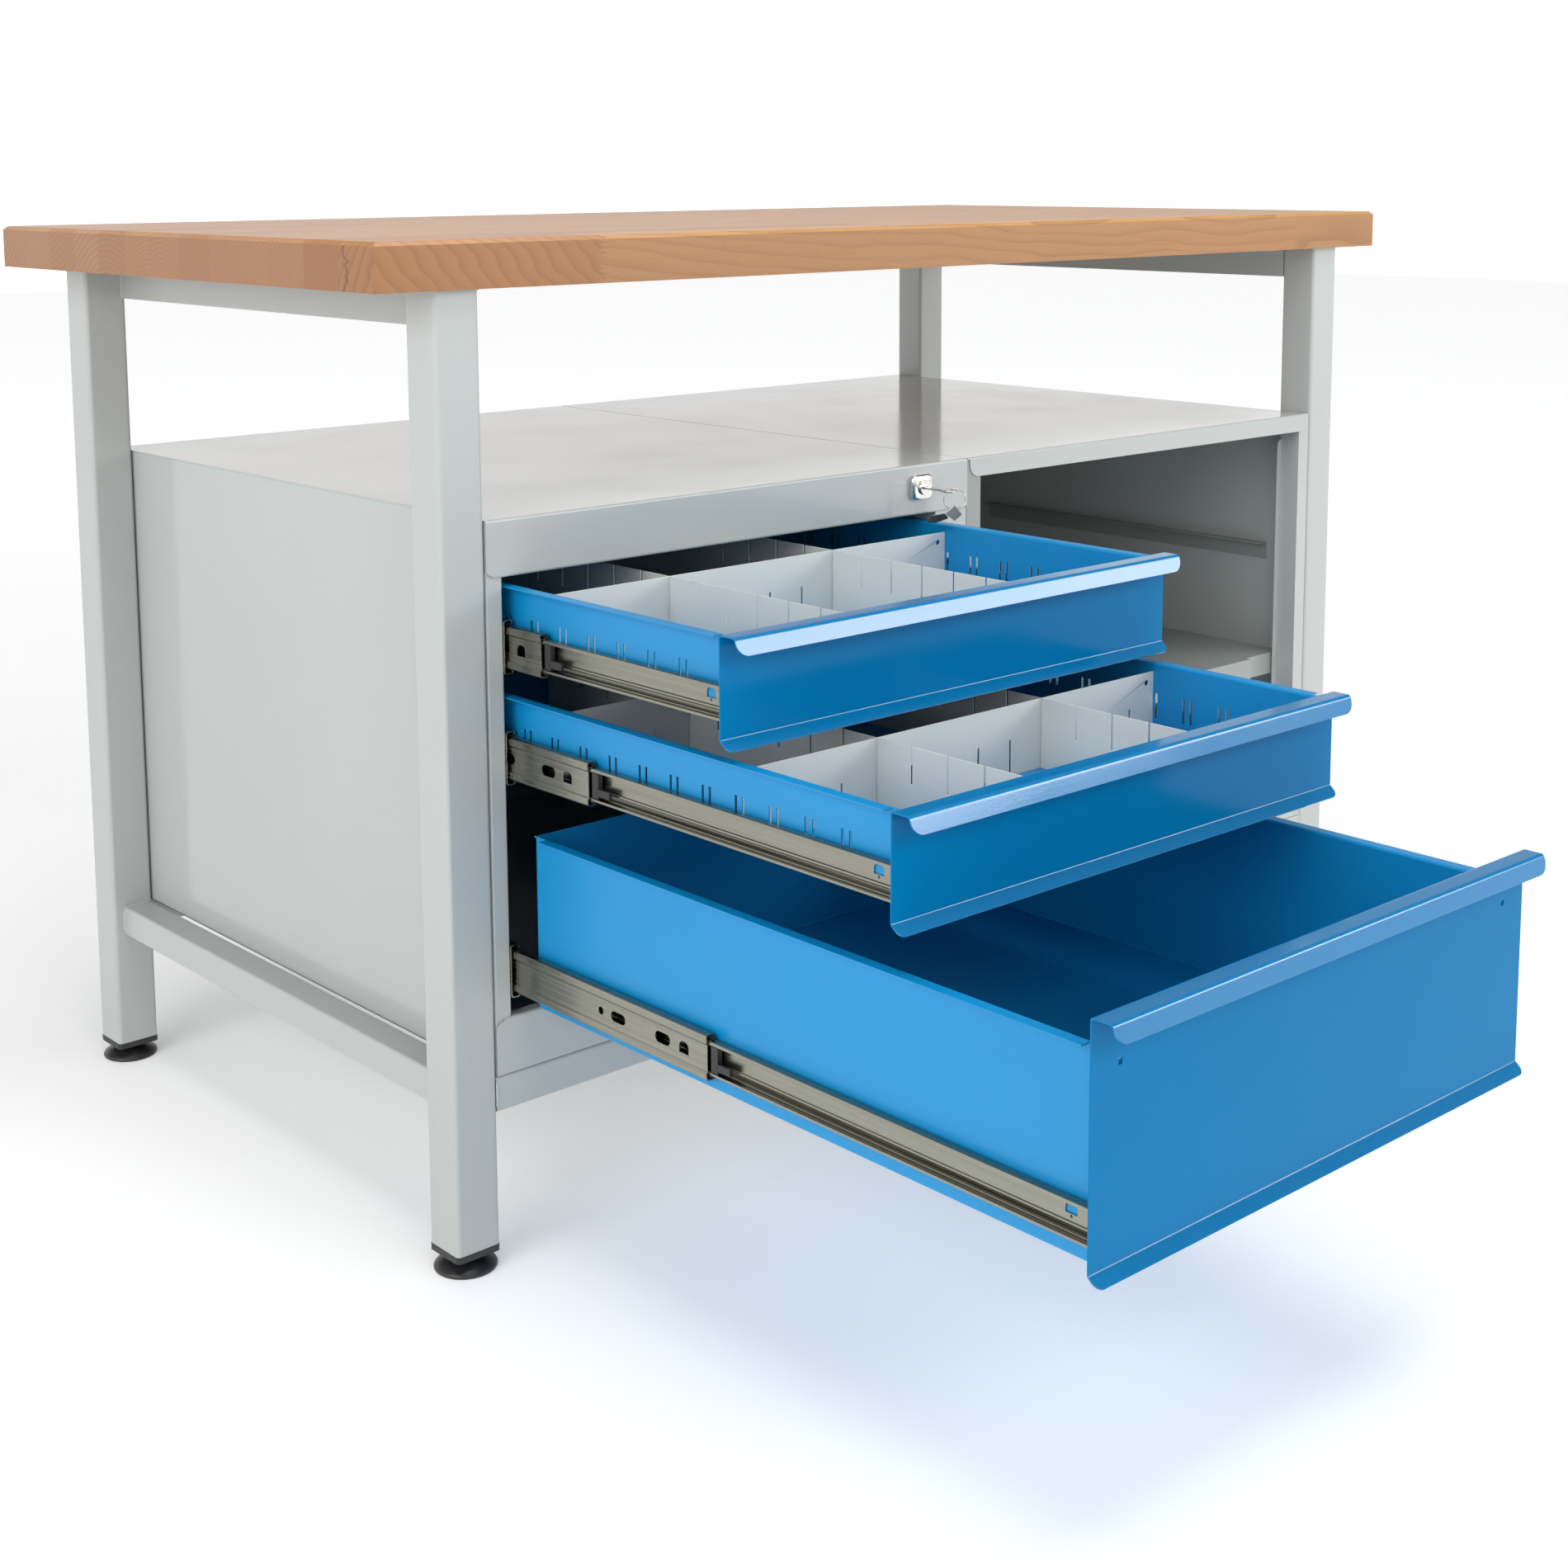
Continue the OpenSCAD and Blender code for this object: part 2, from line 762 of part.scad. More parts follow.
module drawer_slide_members(i) {
    y0 = box_front_y + drawer_member_y;
    edge = slide_gap - member_flange[2];
    color(zinc) drawn_out(drawer_out[i]) at_slide(i) {
        difference() {
            along_y(y0, y0 + slide_length) drawer_member_outline();
            for (w = drawer_windows) web_window(y0 + w[0], y0 + w[1], w[2], w[3]);
            block([0, y0 + drawer_notch[0][0], drawer_notch[0][1]],
                  [slide_gap + eps, y0 + drawer_notch[1][0], drawer_notch[1][1]]);
        }
        block([edge, y0, drawer_end_tab[0]], [slide_gap, y0 + slide_sheet, drawer_end_tab[1]]);
    }
}

// ---- drawers -------------------------------------------------------------

module drawer_front(i) {
    t = front_sheet;
    mid = front_y + t / 2;
    low = front_low[i];
    high = front_high[i] - t / 2;
    lip_y = front_y - handle_out;
    color(blue) drawn_out(drawer_out[i]) difference() {
        along_x(front_left, front_right) bent_line([
            [front_y - foot_lip[0], low - foot_lip[1]],
            [mid, low],
            [mid, high],
            [lip_y, high],
            [lip_y - handle_lip[0], high - handle_lip[1]],
        ], t);
        along_y(lip_y - handle_lip[0] - eps, lip_y + t) {
            for (x = [[front_left, -1], [front_right, 1]])
                corner_waste([x[0], high - handle_lip[1] - t / 2], [x[1], -1], handle_corner);
        }
        along_y(front_y - foot_lip[0] - eps, front_y) {
            for (x = [[front_left, -1], [front_right, 1]])
                corner_waste([x[0], low - foot_lip[1] - t / 2], [x[1], -1], foot_corner);
        }
    }
}

// Pairs of slots in both walls that take the dividers
module wall_slots(i) {
    top = box_high[i] - slot_drop;
    for (k = slot_rows, s = [-slot_pair / 2, slot_pair / 2]) {
        y = box_front_y + slot_first + slot_pitch * k + s;
        block([box_left - eps, y - slot_width / 2, top - slot_length],
              [box_right + eps, y + slot_width / 2, top]);
    }
}

module drawer_walls(i) {
    t = box_sheet;
    y0 = box_front_y;
    y1 = box_front_y + box_depth;
    low = box_low[i];
    high = box_high[i];
    block([box_left, y0, low], [box_right, y1, low + t]);
    block([box_left, y1 - t, low], [box_right, y1, high]);
    for (x = [box_left, box_right - t]) block([x, y0, low], [x + t, y1, high]);
    for (x = [box_left, box_right - tab_width])
        block([x, y0, low], [x + tab_width, y0 + t, high - 4]);
    block([box_left - flange_out, y0 + flange_start, high - t], [box_left + t, y1, high]);
    block([box_right - t, y0 + flange_start, high - t], [box_right + flange_out, y1, high]);
}

// Pressed-out lug on the right wall that the locking bar's hook stands in front of
module lock_lug(i) {
    z0 = hook_low[i] + lock_lift + 0.5;
    block([box_right - box_sheet, lug_y[0], z0], [lug_tip_x, lug_y[1], z0 + hook_height]);
}

module drawer_box(i) {
    color(blue) drawn_out(drawer_out[i]) {
        difference() {
            drawer_walls(i);
            if (i < 2) wall_slots(i);
            if (i == 2)
                block([box_left - flange_out - eps, box_front_y + box_depth - 16, box_high[i] - 6],
                      [box_left - 0.2, box_front_y + box_depth + eps, box_high[i] + eps]);
        }
        lock_lug(i);
    }
}

function divider_low(i) = box_low[i] + box_sheet;
function divider_high(i) = box_high[i] - divider_drop;
function cross_y(row) = box_front_y + slot_first + slot_pitch * row;

// Sheets that run from the front to the back, slit from above at every slot
module long_dividers(i) {
    low = divider_low(i);
    high = divider_high(i);
    mid = (low + high) / 2;
    color("whitesmoke") drawn_out(drawer_out[i]) difference() {
        for (x = long_divider_x)
            block([x, box_front_y + 2, low], [x + divider_sheet, box_front_y + box_depth - 2, high]);
        for (k = slot_rows)
            block([long_divider_x[0] - eps, cross_y(k) - divider_slit / 2, mid],
                  [long_divider_x[1] + divider_sheet + eps, cross_y(k) + divider_slit / 2, high + eps]);
    }
}

// Sheets across the drawer, slit from below where they sit on the long ones
module cross_dividers(i) {
    low = divider_low(i);
    high = divider_high(i);
    mid = (low + high) / 2;
    half = divider_sheet / 2;
    right = box_right - box_sheet;
    color("whitesmoke") drawn_out(drawer_out[i]) difference() {
        for (k = cross_rows[i])
            block([box_left + box_sheet, cross_y(k) - half, low], [right, cross_y(k) + half, high]);
        for (k = cross_slits)
            translate([long_divider_x[1] + slot_pitch * k + half, 0, 0])
                block([-divider_slit / 2, cross_y(-1), low - eps], [divider_slit / 2, cross_y(14), mid + half]);
        rod_y(cross_y(-1), cross_y(14), right - cross_hole_inset, high - cross_hole_inset, cross_hole);
    }
}

// ---- lock ----------------------------------------------------------------

module lock_housing() {
    depth = housing_depth;
    dome = housing_dome;
    color("lightgrey") difference() {
        union() {
            intersection() {
                translate([lock_x, 0, lock_z]) along_y(front_y - depth, front_y)
                    round_rect(housing_size[0], housing_size[1], housing_corner);
                translate([lock_x, front_y - depth + dome, lock_z]) sphere(dome);
            }
            rod_y(front_y, barrel_end_y, lock_x, lock_z, barrel_radius);
        }
        rod_y(front_y - 2 * depth, barrel_end_y + eps, lock_x, lock_z, core_radius + stud_gap);
    }
}

module lock_core() {
    half = [key_blade[0] / 2 + key_gap, key_blade[1] / 2 + key_gap];
    color("lightgrey") difference() {
        rod_y(core_face_y, cam_low_y, lock_x, lock_z, core_radius);
        block([lock_x - half[0], core_face_y - eps, lock_z - half[1]],
              [lock_x + half[0], core_face_y + key_blade[2] + key_gap, lock_z + half[1]]);
    }
}

// Cam on the back of the core; its pin lifts the bar's arm
module lock_cam() {
    color(zinc) {
        rod_y(cam_low_y, cam_low_y + cam_thick, lock_x, lock_z, cam_hub_radius);
        rod_y(cam_low_y, cam_low_y + cam_thick, cam_pin_x, cam_pin_z, cam_arm_half);
        translate([lock_x, 0, lock_z]) rotate([0, lock_angle / 2, 0])
            block([-cam_reach, cam_low_y, -cam_arm_half], [0, cam_low_y + cam_thick, cam_arm_half]);
        rod_y(cam_low_y, cam_low_y + cam_thick + cam_pin_length, cam_pin_x, cam_pin_z, cam_pin_radius);
    }
}

// Strip with one hook a drawer, lifted by the cam through a slotted arm
module lock_bar() {
    arm_z = [cam_pin_z - 7, cam_pin_z + 6];
    arm_y = [cam_low_y + cam_thick + 0.5, cam_low_y + cam_thick + 2.5];
    slot = cam_pin_radius + cam_pin_gap;
    slot_x = [lock_x - cam_reach - slot, cam_pin_x + slot];
    color(zinc) {
        block([bar_x[0], bar_y[0], bar_low], [bar_x[1], bar_y[1], arm_z[1]]);
        block([bar_x[0], bar_y[0], arm_z[0]], [bar_x[1], arm_y[1], arm_z[1]]);
        difference() {
            block([slot_x[0] - 3, arm_y[0], arm_z[0]], [bar_x[1], arm_y[1], arm_z[1]]);
            block([slot_x[0], arm_y[0] - eps, cam_pin_z - slot],
                  [slot_x[1], arm_y[1] + eps, cam_pin_z + slot]);
        }
        for (z = hook_low) block([hook_tip_x, hook_y[0], z], [bar_x[1], hook_y[1], z + hook_height]);
    }
}

module key() {
    half = key_blade[1] / 2;
    color(zinc) difference() {
        along_z(lock_z - half, lock_z + half) {
            span([lock_x - key_blade[0] / 2, bow_y],
                 [lock_x + key_blade[0] / 2, core_face_y + key_blade[2]]);
            translate([lock_x, bow_y]) circle(bow_radius);
        }
        rod_z(lock_z - half - eps, lock_z + half + eps, lock_x, bow_y, bow_hole);
    }
}

// What hangs on the key turns with the ring's plane and is counted from the ring's centre
module on_ring() {
    translate([lock_x, bow_y, ring_z]) rotate([0, 0, ring_angle]) translate([ring_shift, 0, 0]) children();
}

module key_ring() {
    color(zinc) on_ring() rotate([90, 0, 0]) rotate_extrude()
        translate([ring_radius, 0]) circle(wire_radius);
}

// Folded clip that the ring passes through
module spare_key_clip() {
    color("lightgrey") on_ring() difference() {
        along_y(-clip_thick / 2, clip_thick / 2) polygon(clip_outline);
        rotate([90, 0, 0]) rotate_extrude()
            translate([ring_radius, 0]) circle(wire_radius + clip_gap);
    }
}

// Plastic head of the spare key, leaning away from the clip
module spare_key() {
    color(black) on_ring() along_y(-spare_key_thick / 2, spare_key_thick / 2)
        polygon(spare_key_outline);
}

worktop();
leg(-1, -1);  // leg_front_left
leg(1, -1);  // leg_front_right
leg(-1, 1);  // leg_rear_left
leg(1, 1);  // leg_rear_right
top_rail();  // top_rail_left
mirror([1, 0, 0]) top_rail();  // top_rail_right
side_rail();  // lower_rail_left
mirror([1, 0, 0]) side_rail();  // lower_rail_right
cross_rail(-1);  // lower_rail_front
cross_rail(1);  // lower_rail_rear
leg_end_caps();
worktop_screws();
cabinet_bolts();
foot(-1, -1);  // foot_front_left
foot(1, -1);  // foot_front_right
foot(-1, 1);  // foot_rear_left
foot(1, 1);  // foot_rear_right
drawer_cabinet_left_side();
drawer_cabinet_right_side();
drawer_cabinet_top();
drawer_cabinet_bottom();
cabinet_back(left_x, 0);  // drawer_cabinet_back
slide_posts();
shelf_cabinet_left_side();
shelf_cabinet_right_side();
shelf_cabinet_top();
shelf_cabinet_bottom();
cabinet_back(0, cabinet_width);  // shelf_cabinet_back
shelf();
shelf_ledges();
cabinet_slide_members();
slide_screws();
middle_slide_members(0);  // middle_slide_members_top
middle_slide_members(1);  // middle_slide_members_middle
middle_slide_members(2);  // middle_slide_members_bottom
slide_stops(0);  // slide_stops_top
slide_stops(1);  // slide_stops_middle
slide_stops(2);  // slide_stops_bottom
drawer_box(0);  // drawer_box_top
drawer_box(1);  // drawer_box_middle
drawer_box(2);  // drawer_box_bottom
drawer_front(0);  // drawer_front_top
drawer_front(1);  // drawer_front_middle
drawer_front(2);  // drawer_front_bottom
drawer_slide_members(0);  // drawer_slide_members_top
drawer_slide_members(1);  // drawer_slide_members_middle
drawer_slide_members(2);  // drawer_slide_members_bottom
long_dividers(0);  // long_dividers_top
long_dividers(1);  // long_dividers_middle
cross_dividers(0);  // cross_divider_top
cross_dividers(1);  // cross_dividers_middle
lock_housing();
lock_core();
lock_cam();
lock_bar();
key();
key_ring();
spare_key_clip();
spare_key();
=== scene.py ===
"""Workbench with drawers: the visual model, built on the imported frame. Metres, in the frame's axes."""

import math
import random

import bmesh
import bpy
from mathutils import Matrix, Vector


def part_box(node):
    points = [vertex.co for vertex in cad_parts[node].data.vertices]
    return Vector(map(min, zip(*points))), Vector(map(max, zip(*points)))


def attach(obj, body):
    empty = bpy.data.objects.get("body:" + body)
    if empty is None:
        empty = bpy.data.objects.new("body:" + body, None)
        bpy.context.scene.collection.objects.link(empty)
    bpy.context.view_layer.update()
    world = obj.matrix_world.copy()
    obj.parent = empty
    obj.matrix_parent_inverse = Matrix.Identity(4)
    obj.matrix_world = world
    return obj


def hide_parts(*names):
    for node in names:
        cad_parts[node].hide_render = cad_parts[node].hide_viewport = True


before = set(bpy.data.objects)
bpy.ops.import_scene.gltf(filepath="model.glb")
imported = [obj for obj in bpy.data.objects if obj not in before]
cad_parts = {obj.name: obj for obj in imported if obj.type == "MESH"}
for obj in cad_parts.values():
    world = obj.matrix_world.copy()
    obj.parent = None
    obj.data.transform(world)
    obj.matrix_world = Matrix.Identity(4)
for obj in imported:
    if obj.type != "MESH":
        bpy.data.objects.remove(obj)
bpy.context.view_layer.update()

MM = 0.001
DRAWERS = ("top", "middle", "bottom")
CORNERS = ("front_left", "front_right", "rear_left", "rear_right")


# ---- camera and studio ---------------------------------------------------

CAMERA_PLACE = (-1.556376, -1.802770, 0.907682)
CAMERA_YAW = 42.034
CAMERA_DOWN = 7.788
CAMERA_ROLL = -0.254
CAMERA_LENS = 51.70
CAMERA_SHIFT = (-0.005, -0.200)
CAMERA_SIGHT = 100
WORLD_TILT = 0.22
WORLD_STRENGTH = 1.2
# Height above the horizon and colour, of the white horizon and of the dark ceiling
WORLD_STOPS = ((0.22, (1, 1, 1, 1)), (0.62, (0.13, 0.135, 0.14, 1)))
FLOOR_REACH = 14
# Place, target, width and height, and power of each area light
SOFT_BOXES = {
    "left_box": ((-4.2, -1.2, 2.2), (0, -0.2, 0.5), (3.0, 2.4), 78),
    "front_box": ((-0.6, -4.6, 3.6), (0, -0.4, 0.5), (3.0, 1.4), 34),
    "right_box": ((2.7, -3.7, 1.95), (-0.2, -0.7, 0.5), (2.2, 1.3), 66),
    "top_box": ((0, -0.9, 3.4), (0, -0.4, 0.5), (3.0, 2.2), 75),
}


def make_camera():
    """The camera, turned from +Y towards +X, tilted down and rolled by a fraction of a degree."""
    yaw, down, roll = (math.radians(a) for a in (CAMERA_YAW, CAMERA_DOWN, CAMERA_ROLL))
    right = Vector((math.cos(yaw), -math.sin(yaw), 0))
    level = Vector((math.sin(yaw), math.cos(yaw), 0))
    ahead = level * math.cos(down) - Vector((0, 0, math.sin(down)))
    up = Vector((0, 0, math.cos(down))) + level * math.sin(down)
    rolled_right = right * math.cos(roll) + up * math.sin(roll)
    rolled_up = up * math.cos(roll) - right * math.sin(roll)
    camera = bpy.data.objects.new("camera", bpy.data.cameras.new("camera"))
    bpy.context.scene.collection.objects.link(camera)
    turn = Matrix((rolled_right, rolled_up, -ahead)).transposed().to_4x4()
    camera.matrix_world = Matrix.Translation(CAMERA_PLACE) @ turn
    camera.data.lens = CAMERA_LENS
    camera.data.shift_x, camera.data.shift_y = CAMERA_SHIFT
    camera.data.clip_end = CAMERA_SIGHT
    bpy.context.scene.camera = camera


def soft_box(name, place, target, size, power):
    """A rectangular area light that faces the target."""
    light = bpy.data.objects.new(name, bpy.data.lights.new(name, "AREA"))
    bpy.context.scene.collection.objects.link(light)
    light.data.shape = "RECTANGLE"
    light.data.size, light.data.size_y = size
    light.data.energy = power
    light.location = place
    aim = Vector(target) - Vector(place)
    light.rotation_euler = aim.to_track_quat("-Z", "Y").to_euler()


def make_world():
    """White round the horizon and dark overhead, a little more so towards +X."""
    world = bpy.data.worlds.new("studio")
    bpy.context.scene.world = world
    world.use_nodes = True
    nodes = world.node_tree.nodes
    links = world.node_tree.links
    place = nodes.new("ShaderNodeTexCoord")
    split = nodes.new("ShaderNodeSeparateXYZ")
    links.new(place.outputs["Generated"], split.inputs[0])
    tilt = nodes.new("ShaderNodeMath")
    tilt.operation = "MULTIPLY_ADD"
    tilt.inputs[1].default_value = WORLD_TILT
    links.new(split.outputs["X"], tilt.inputs[0])
    links.new(split.outputs["Z"], tilt.inputs[2])
    ramp = nodes.new("ShaderNodeValToRGB")
    ramp.color_ramp.interpolation = "EASE"
    for stop, (position, colour) in zip(ramp.color_ramp.elements, WORLD_STOPS):
        stop.position = position
        stop.color = colour
    links.new(tilt.outputs[0], ramp.inputs[0])
    links.new(ramp.outputs[0], nodes["Background"].inputs["Color"])
    nodes["Background"].inputs["Strength"].default_value = WORLD_STRENGTH


def make_floor():
    """A large plain pale floor."""
    mesh = bmesh.new()
    around = ((-1, -1), (1, -1), (1, 1), (-1, 1))
    mesh.faces.new([mesh.verts.new((x * FLOOR_REACH, y * FLOOR_REACH, 0)) for x, y in around])
    data = bpy.data.meshes.new("floor")
    mesh.to_mesh(data)
    mesh.free()
    floor = bpy.data.objects.new("floor", data)
    bpy.context.scene.collection.objects.link(floor)
    data.materials.append(pale_floor())


# ---- materials -----------------------------------------------------------

class Shading:
    """A material whose nodes are added and linked in short calls."""

    def __init__(self, name):
        self.material = bpy.data.materials.new(name)
        self.material.use_nodes = True
        self.tree = self.material.node_tree
        self.shader = self.tree.nodes["Principled BSDF"]
        self.place = self.node("TexCoord").outputs["Object"]
        self.normal = None

    def node(self, kind, **settings):
        made = self.tree.nodes.new("ShaderNode" + kind)
        for key, value in settings.items():
            setattr(made, key, value)
        return made

    def feed(self, socket, value):
        if isinstance(value, bpy.types.NodeSocket):
            self.tree.links.new(value, socket)
        else:
            socket.default_value = value

    def set(self, **values):
        for key, value in values.items():
            self.feed(self.shader.inputs[key.replace("_", " ")], value)

    def math(self, operation, *values):
        made = self.node("Math", operation=operation)
        for socket, value in zip(made.inputs, values):
            self.feed(socket, value)
        return made.outputs[0]

    def plus(self, first, second):
        return self.math("ADD", first, second)

    def times(self, first, second):
        return self.math("MULTIPLY", first, second)

    def stretched(self, scale):
        made = self.node("Mapping")
        self.feed(made.inputs["Vector"], self.place)
        made.inputs["Scale"].default_value = scale
        return made.outputs[0]

    def noise(self, scale, detail=2.0, source=None, rough=0.5):
        made = self.node("TexNoise")
        self.feed(made.inputs["Vector"], source or self.place)
        made.inputs["Scale"].default_value = scale
        made.inputs["Detail"].default_value = detail
        made.inputs["Roughness"].default_value = rough
        return made.outputs[0]

    def remap(self, value, start, end, low=0.3, high=0.7):
        """Gives start where the value is low and end where it is high."""
        made = self.node("MapRange")
        for socket, number in zip(made.inputs, (value, low, high, start, end)):
            self.feed(socket, number)
        return made.outputs[0]

    def mix(self, factor, first, second):
        """Mixes two colours, which are the node's inputs 6 and 7."""
        made = self.node("Mix", data_type="RGBA")
        self.feed(made.inputs[0], factor)
        for socket, colour in zip(made.inputs[6:8], (first, second)):
            self.feed(socket, colour if isinstance(colour, bpy.types.NodeSocket) else (*colour, 1))
        return made.outputs[2]

    def bump(self, height, strength, distance):
        """Adds relief on top of the relief that is already there."""
        made = self.node("Bump")
        made.inputs["Strength"].default_value = strength
        made.inputs["Distance"].default_value = distance
        self.feed(made.inputs["Height"], height)
        if self.normal:
            self.feed(made.inputs["Normal"], self.normal)
        self.normal = made.outputs[0]
        self.feed(self.shader.inputs["Normal"], self.normal)


def tinted(colour, factor):
    return tuple(min(1.0, c * factor) for c in colour)


def powder_coat(name, colour, roughness, peel=0.10, gloss=0.5, painted_sheen=0.0):
    """Sprayed and baked paint: a slow drift of tone, fine specks, and the skin's orange peel.
    Sloping surfaces can get a higher specular level than upright ones, chosen by their slope alone: a painted
    sheen that puts highlights on them."""
    s = Shading(name)
    drift = s.noise(scale=2.2, detail=3)
    specks = s.noise(scale=1600, detail=1)
    wear = s.noise(scale=9, detail=4)
    tone = s.mix(s.remap(drift, 0.0, 1.0), tinted(colour, 0.96), tinted(colour, 1.03))
    tone = s.mix(s.remap(specks, 0.0, 0.10, low=0.62, high=0.80), tone, tinted(colour, 0.72))
    s.set(Base_Color=tone, Roughness=s.remap(wear, roughness - 0.03, roughness + 0.04))
    s.set(Specular_IOR_Level=gloss)
    # Painted sheen: the specular level follows the face's slope, so sloping lips shine more than upright
    # faces.
    if painted_sheen:
        face = s.node("NewGeometry")
        split = s.node("SeparateXYZ")
        s.feed(split.inputs[0], face.outputs["Normal"])
        slope = s.math("ABSOLUTE", split.outputs["Z"])
        s.set(Specular_IOR_Level=s.remap(slope, gloss, painted_sheen, low=0.08, high=0.30))
    s.bump(s.noise(scale=420, detail=2), strength=peel, distance=0.0003)
    s.bump(s.noise(scale=1.7, detail=2), strength=0.15, distance=0.0012)
    return s.material


def plated_steel(name, colour, roughness, grain):
    """Zinc plating over rolled steel: rolling lines along the strip, clouds and small scuffs."""
    s = Shading(name)
    lines = s.noise(scale=1.0, detail=3, source=s.stretched(grain))
    clouds = s.noise(scale=38, detail=4)
    scuffs = s.noise(scale=1.0, detail=5, source=s.stretched((260, 45, 900)), rough=0.7)
    yellowed = tuple(c * share for c, share in zip(colour, (0.90, 0.93, 0.80)))
    tone = s.mix(s.remap(lines, 0.0, 1.0), tinted(colour, 0.86), tinted(colour, 1.10))
    tone = s.mix(s.remap(clouds, 0.0, 0.35), tone, yellowed)
    worn = s.remap(scuffs, 0.0, 0.12, low=0.60, high=0.72)
    s.set(Base_Color=tone, Metallic=1.0)
    s.set(Roughness=s.plus(s.remap(lines, roughness - 0.06, roughness + 0.08), worn))
    s.bump(lines, strength=0.12, distance=0.0002)
    return s.material


def polished_metal(name, colour, roughness):
    """Chrome or nickel with hairline scratches and slightly uneven polish."""
    s = Shading(name)
    hairs = s.noise(scale=1.0, detail=4, source=s.stretched((3000, 180, 2400)), rough=0.6)
    clouds = s.noise(scale=160, detail=3)
    s.set(Base_Color=s.mix(s.remap(clouds, 0.0, 1.0), tinted(colour, 0.93), colour), Metallic=1.0)
    s.set(Roughness=s.remap(hairs, roughness, roughness + 0.10))
    s.bump(clouds, strength=0.05, distance=0.0003)
    return s.material


def moulded_plastic(name, colour, roughness):
    """Black plastic with a fine moulded grain and faint handling marks."""
    s = Shading(name)
    clouds = s.noise(scale=70, detail=4)
    s.set(Base_Color=s.mix(s.remap(clouds, 0.0, 1.0), colour, tinted(colour, 1.9)))
    s.set(Roughness=s.remap(clouds, roughness - 0.05, roughness + 0.08))
    s.bump(s.noise(scale=1800, detail=2), strength=0.18, distance=0.0002)
    return s.material


BEECH_LIGHT = (0.530, 0.300, 0.125)
BEECH_DARK = (0.365, 0.170, 0.060)
BEECH_LINE = (0.190, 0.072, 0.022)
BEECH_PINK = (0.430, 0.225, 0.120)
BEECH_CORNER = (0.400, 0.180, 0.060)
BEECH_YELLOW = (0.500, 0.280, 0.100)
WORKTOP_DEPTH = 0.673
WORKTOP_MIDDLE = 0.83
STAVE = WORKTOP_DEPTH / 13
STAVE_LENGTH = 0.95
FIRST_JOINT = 0.435
FINGER_PITCH = 0.0042
FINGER_DEPTH = 0.0050
GOLDEN_SHARE = 0.618034
RESHUFFLE = 7.31
PITH_SPREAD = 0.17
GRAIN_TILT = 1.6
CORNER_TILT = 0.50
CORNER_SPACING = 0.0045
SEAM_HALF = 0.0003
JOINT_HALF = 0.00055
CRACK_COLOUR = (0.045, 0.020, 0.010)
CRACK_AT = 0.294
CRACK_WAVER = 0.026


def beech_lengths(s, x, y, z):
    """Divides the board into staves, and these into lengths with finger joints between them.
    Gives the stave's number, the fingers' reach, the place along the lengths, and six random
    numbers of the length that a point is in."""
    stave = s.math("FLOOR", s.math("DIVIDE", s.plus(y, WORKTOP_DEPTH / 2), STAVE))
    fingers = s.times(s.math("PINGPONG", z, FINGER_PITCH / 2), 4 * FINGER_DEPTH / FINGER_PITCH)
    shift = s.math("FRACT", s.times(stave, GOLDEN_SHARE))
    run = s.plus(s.plus(x, fingers), s.times(shift, STAVE_LENGTH))
    run = s.math("DIVIDE", s.plus(run, FIRST_JOINT), STAVE_LENGTH)
    key = s.node("CombineXYZ")
    s.feed(key.inputs[0], stave)
    s.feed(key.inputs[1], s.math("FLOOR", run))
    dice = s.node("TexWhiteNoise", noise_dimensions="3D")
    s.feed(dice.inputs["Vector"], key.outputs[0])
    chances = s.node("SeparateColor")
    s.feed(chances.inputs[0], dice.outputs["Color"])
    drawn = list(chances.outputs)
    drawn += [s.math("FRACT", s.times(chance, RESHUFFLE)) for chance in drawn]
    return stave, fingers, run, drawn


def growth_rings(s, x, y, z, drawn, first, corner):
    """How much late wood there is at a point: rings round a pith beside each length, which
    runs more or less aslant; the first stave's rings are wide, and its corner's lean most."""
    one, two, three, four, five, _ = drawn
    warp = s.noise(scale=1.0, detail=3, source=s.stretched((2.2, 12, 12)))
    warp = s.times(warp, s.math("MULTIPLY_ADD", first, 0.05, 0.014))
    tilt = s.times(s.math("POWER", s.math("SUBTRACT", three, 0.5), 3.0), GRAIN_TILT)
    tilt = s.plus(tilt, s.times(corner, CORNER_TILT))
    lean = s.times(x, tilt)

    across = s.math("FRACT", s.math("DIVIDE", s.plus(y, WORKTOP_DEPTH / 2), STAVE))
    across = s.times(s.plus(across, -0.5), STAVE)
    across = s.plus(across, s.times(s.math("SUBTRACT", one, 0.5), PITH_SPREAD))
    across = s.plus(across, lean)
    rise = s.times(s.math("SUBTRACT", two, 0.5), PITH_SPREAD)
    rise = s.plus(s.math("SUBTRACT", z, WORKTOP_MIDDLE), rise)
    rise = s.plus(rise, s.times(lean, 0.6))
    squares = s.plus(s.times(across, across), s.times(rise, rise))
    radius = s.plus(s.math("SQRT", squares), warp)

    spacing = s.remap(four, 0.0032, 0.0068, low=0.0, high=1.0)
    spacing = s.math("MULTIPLY_ADD", first, CORNER_SPACING, spacing)
    rings = s.math("FRACT", s.math("DIVIDE", radius, spacing))
    return s.math("POWER", rings, s.remap(five, 1.6, 4.5, low=0.0, high=1.0))


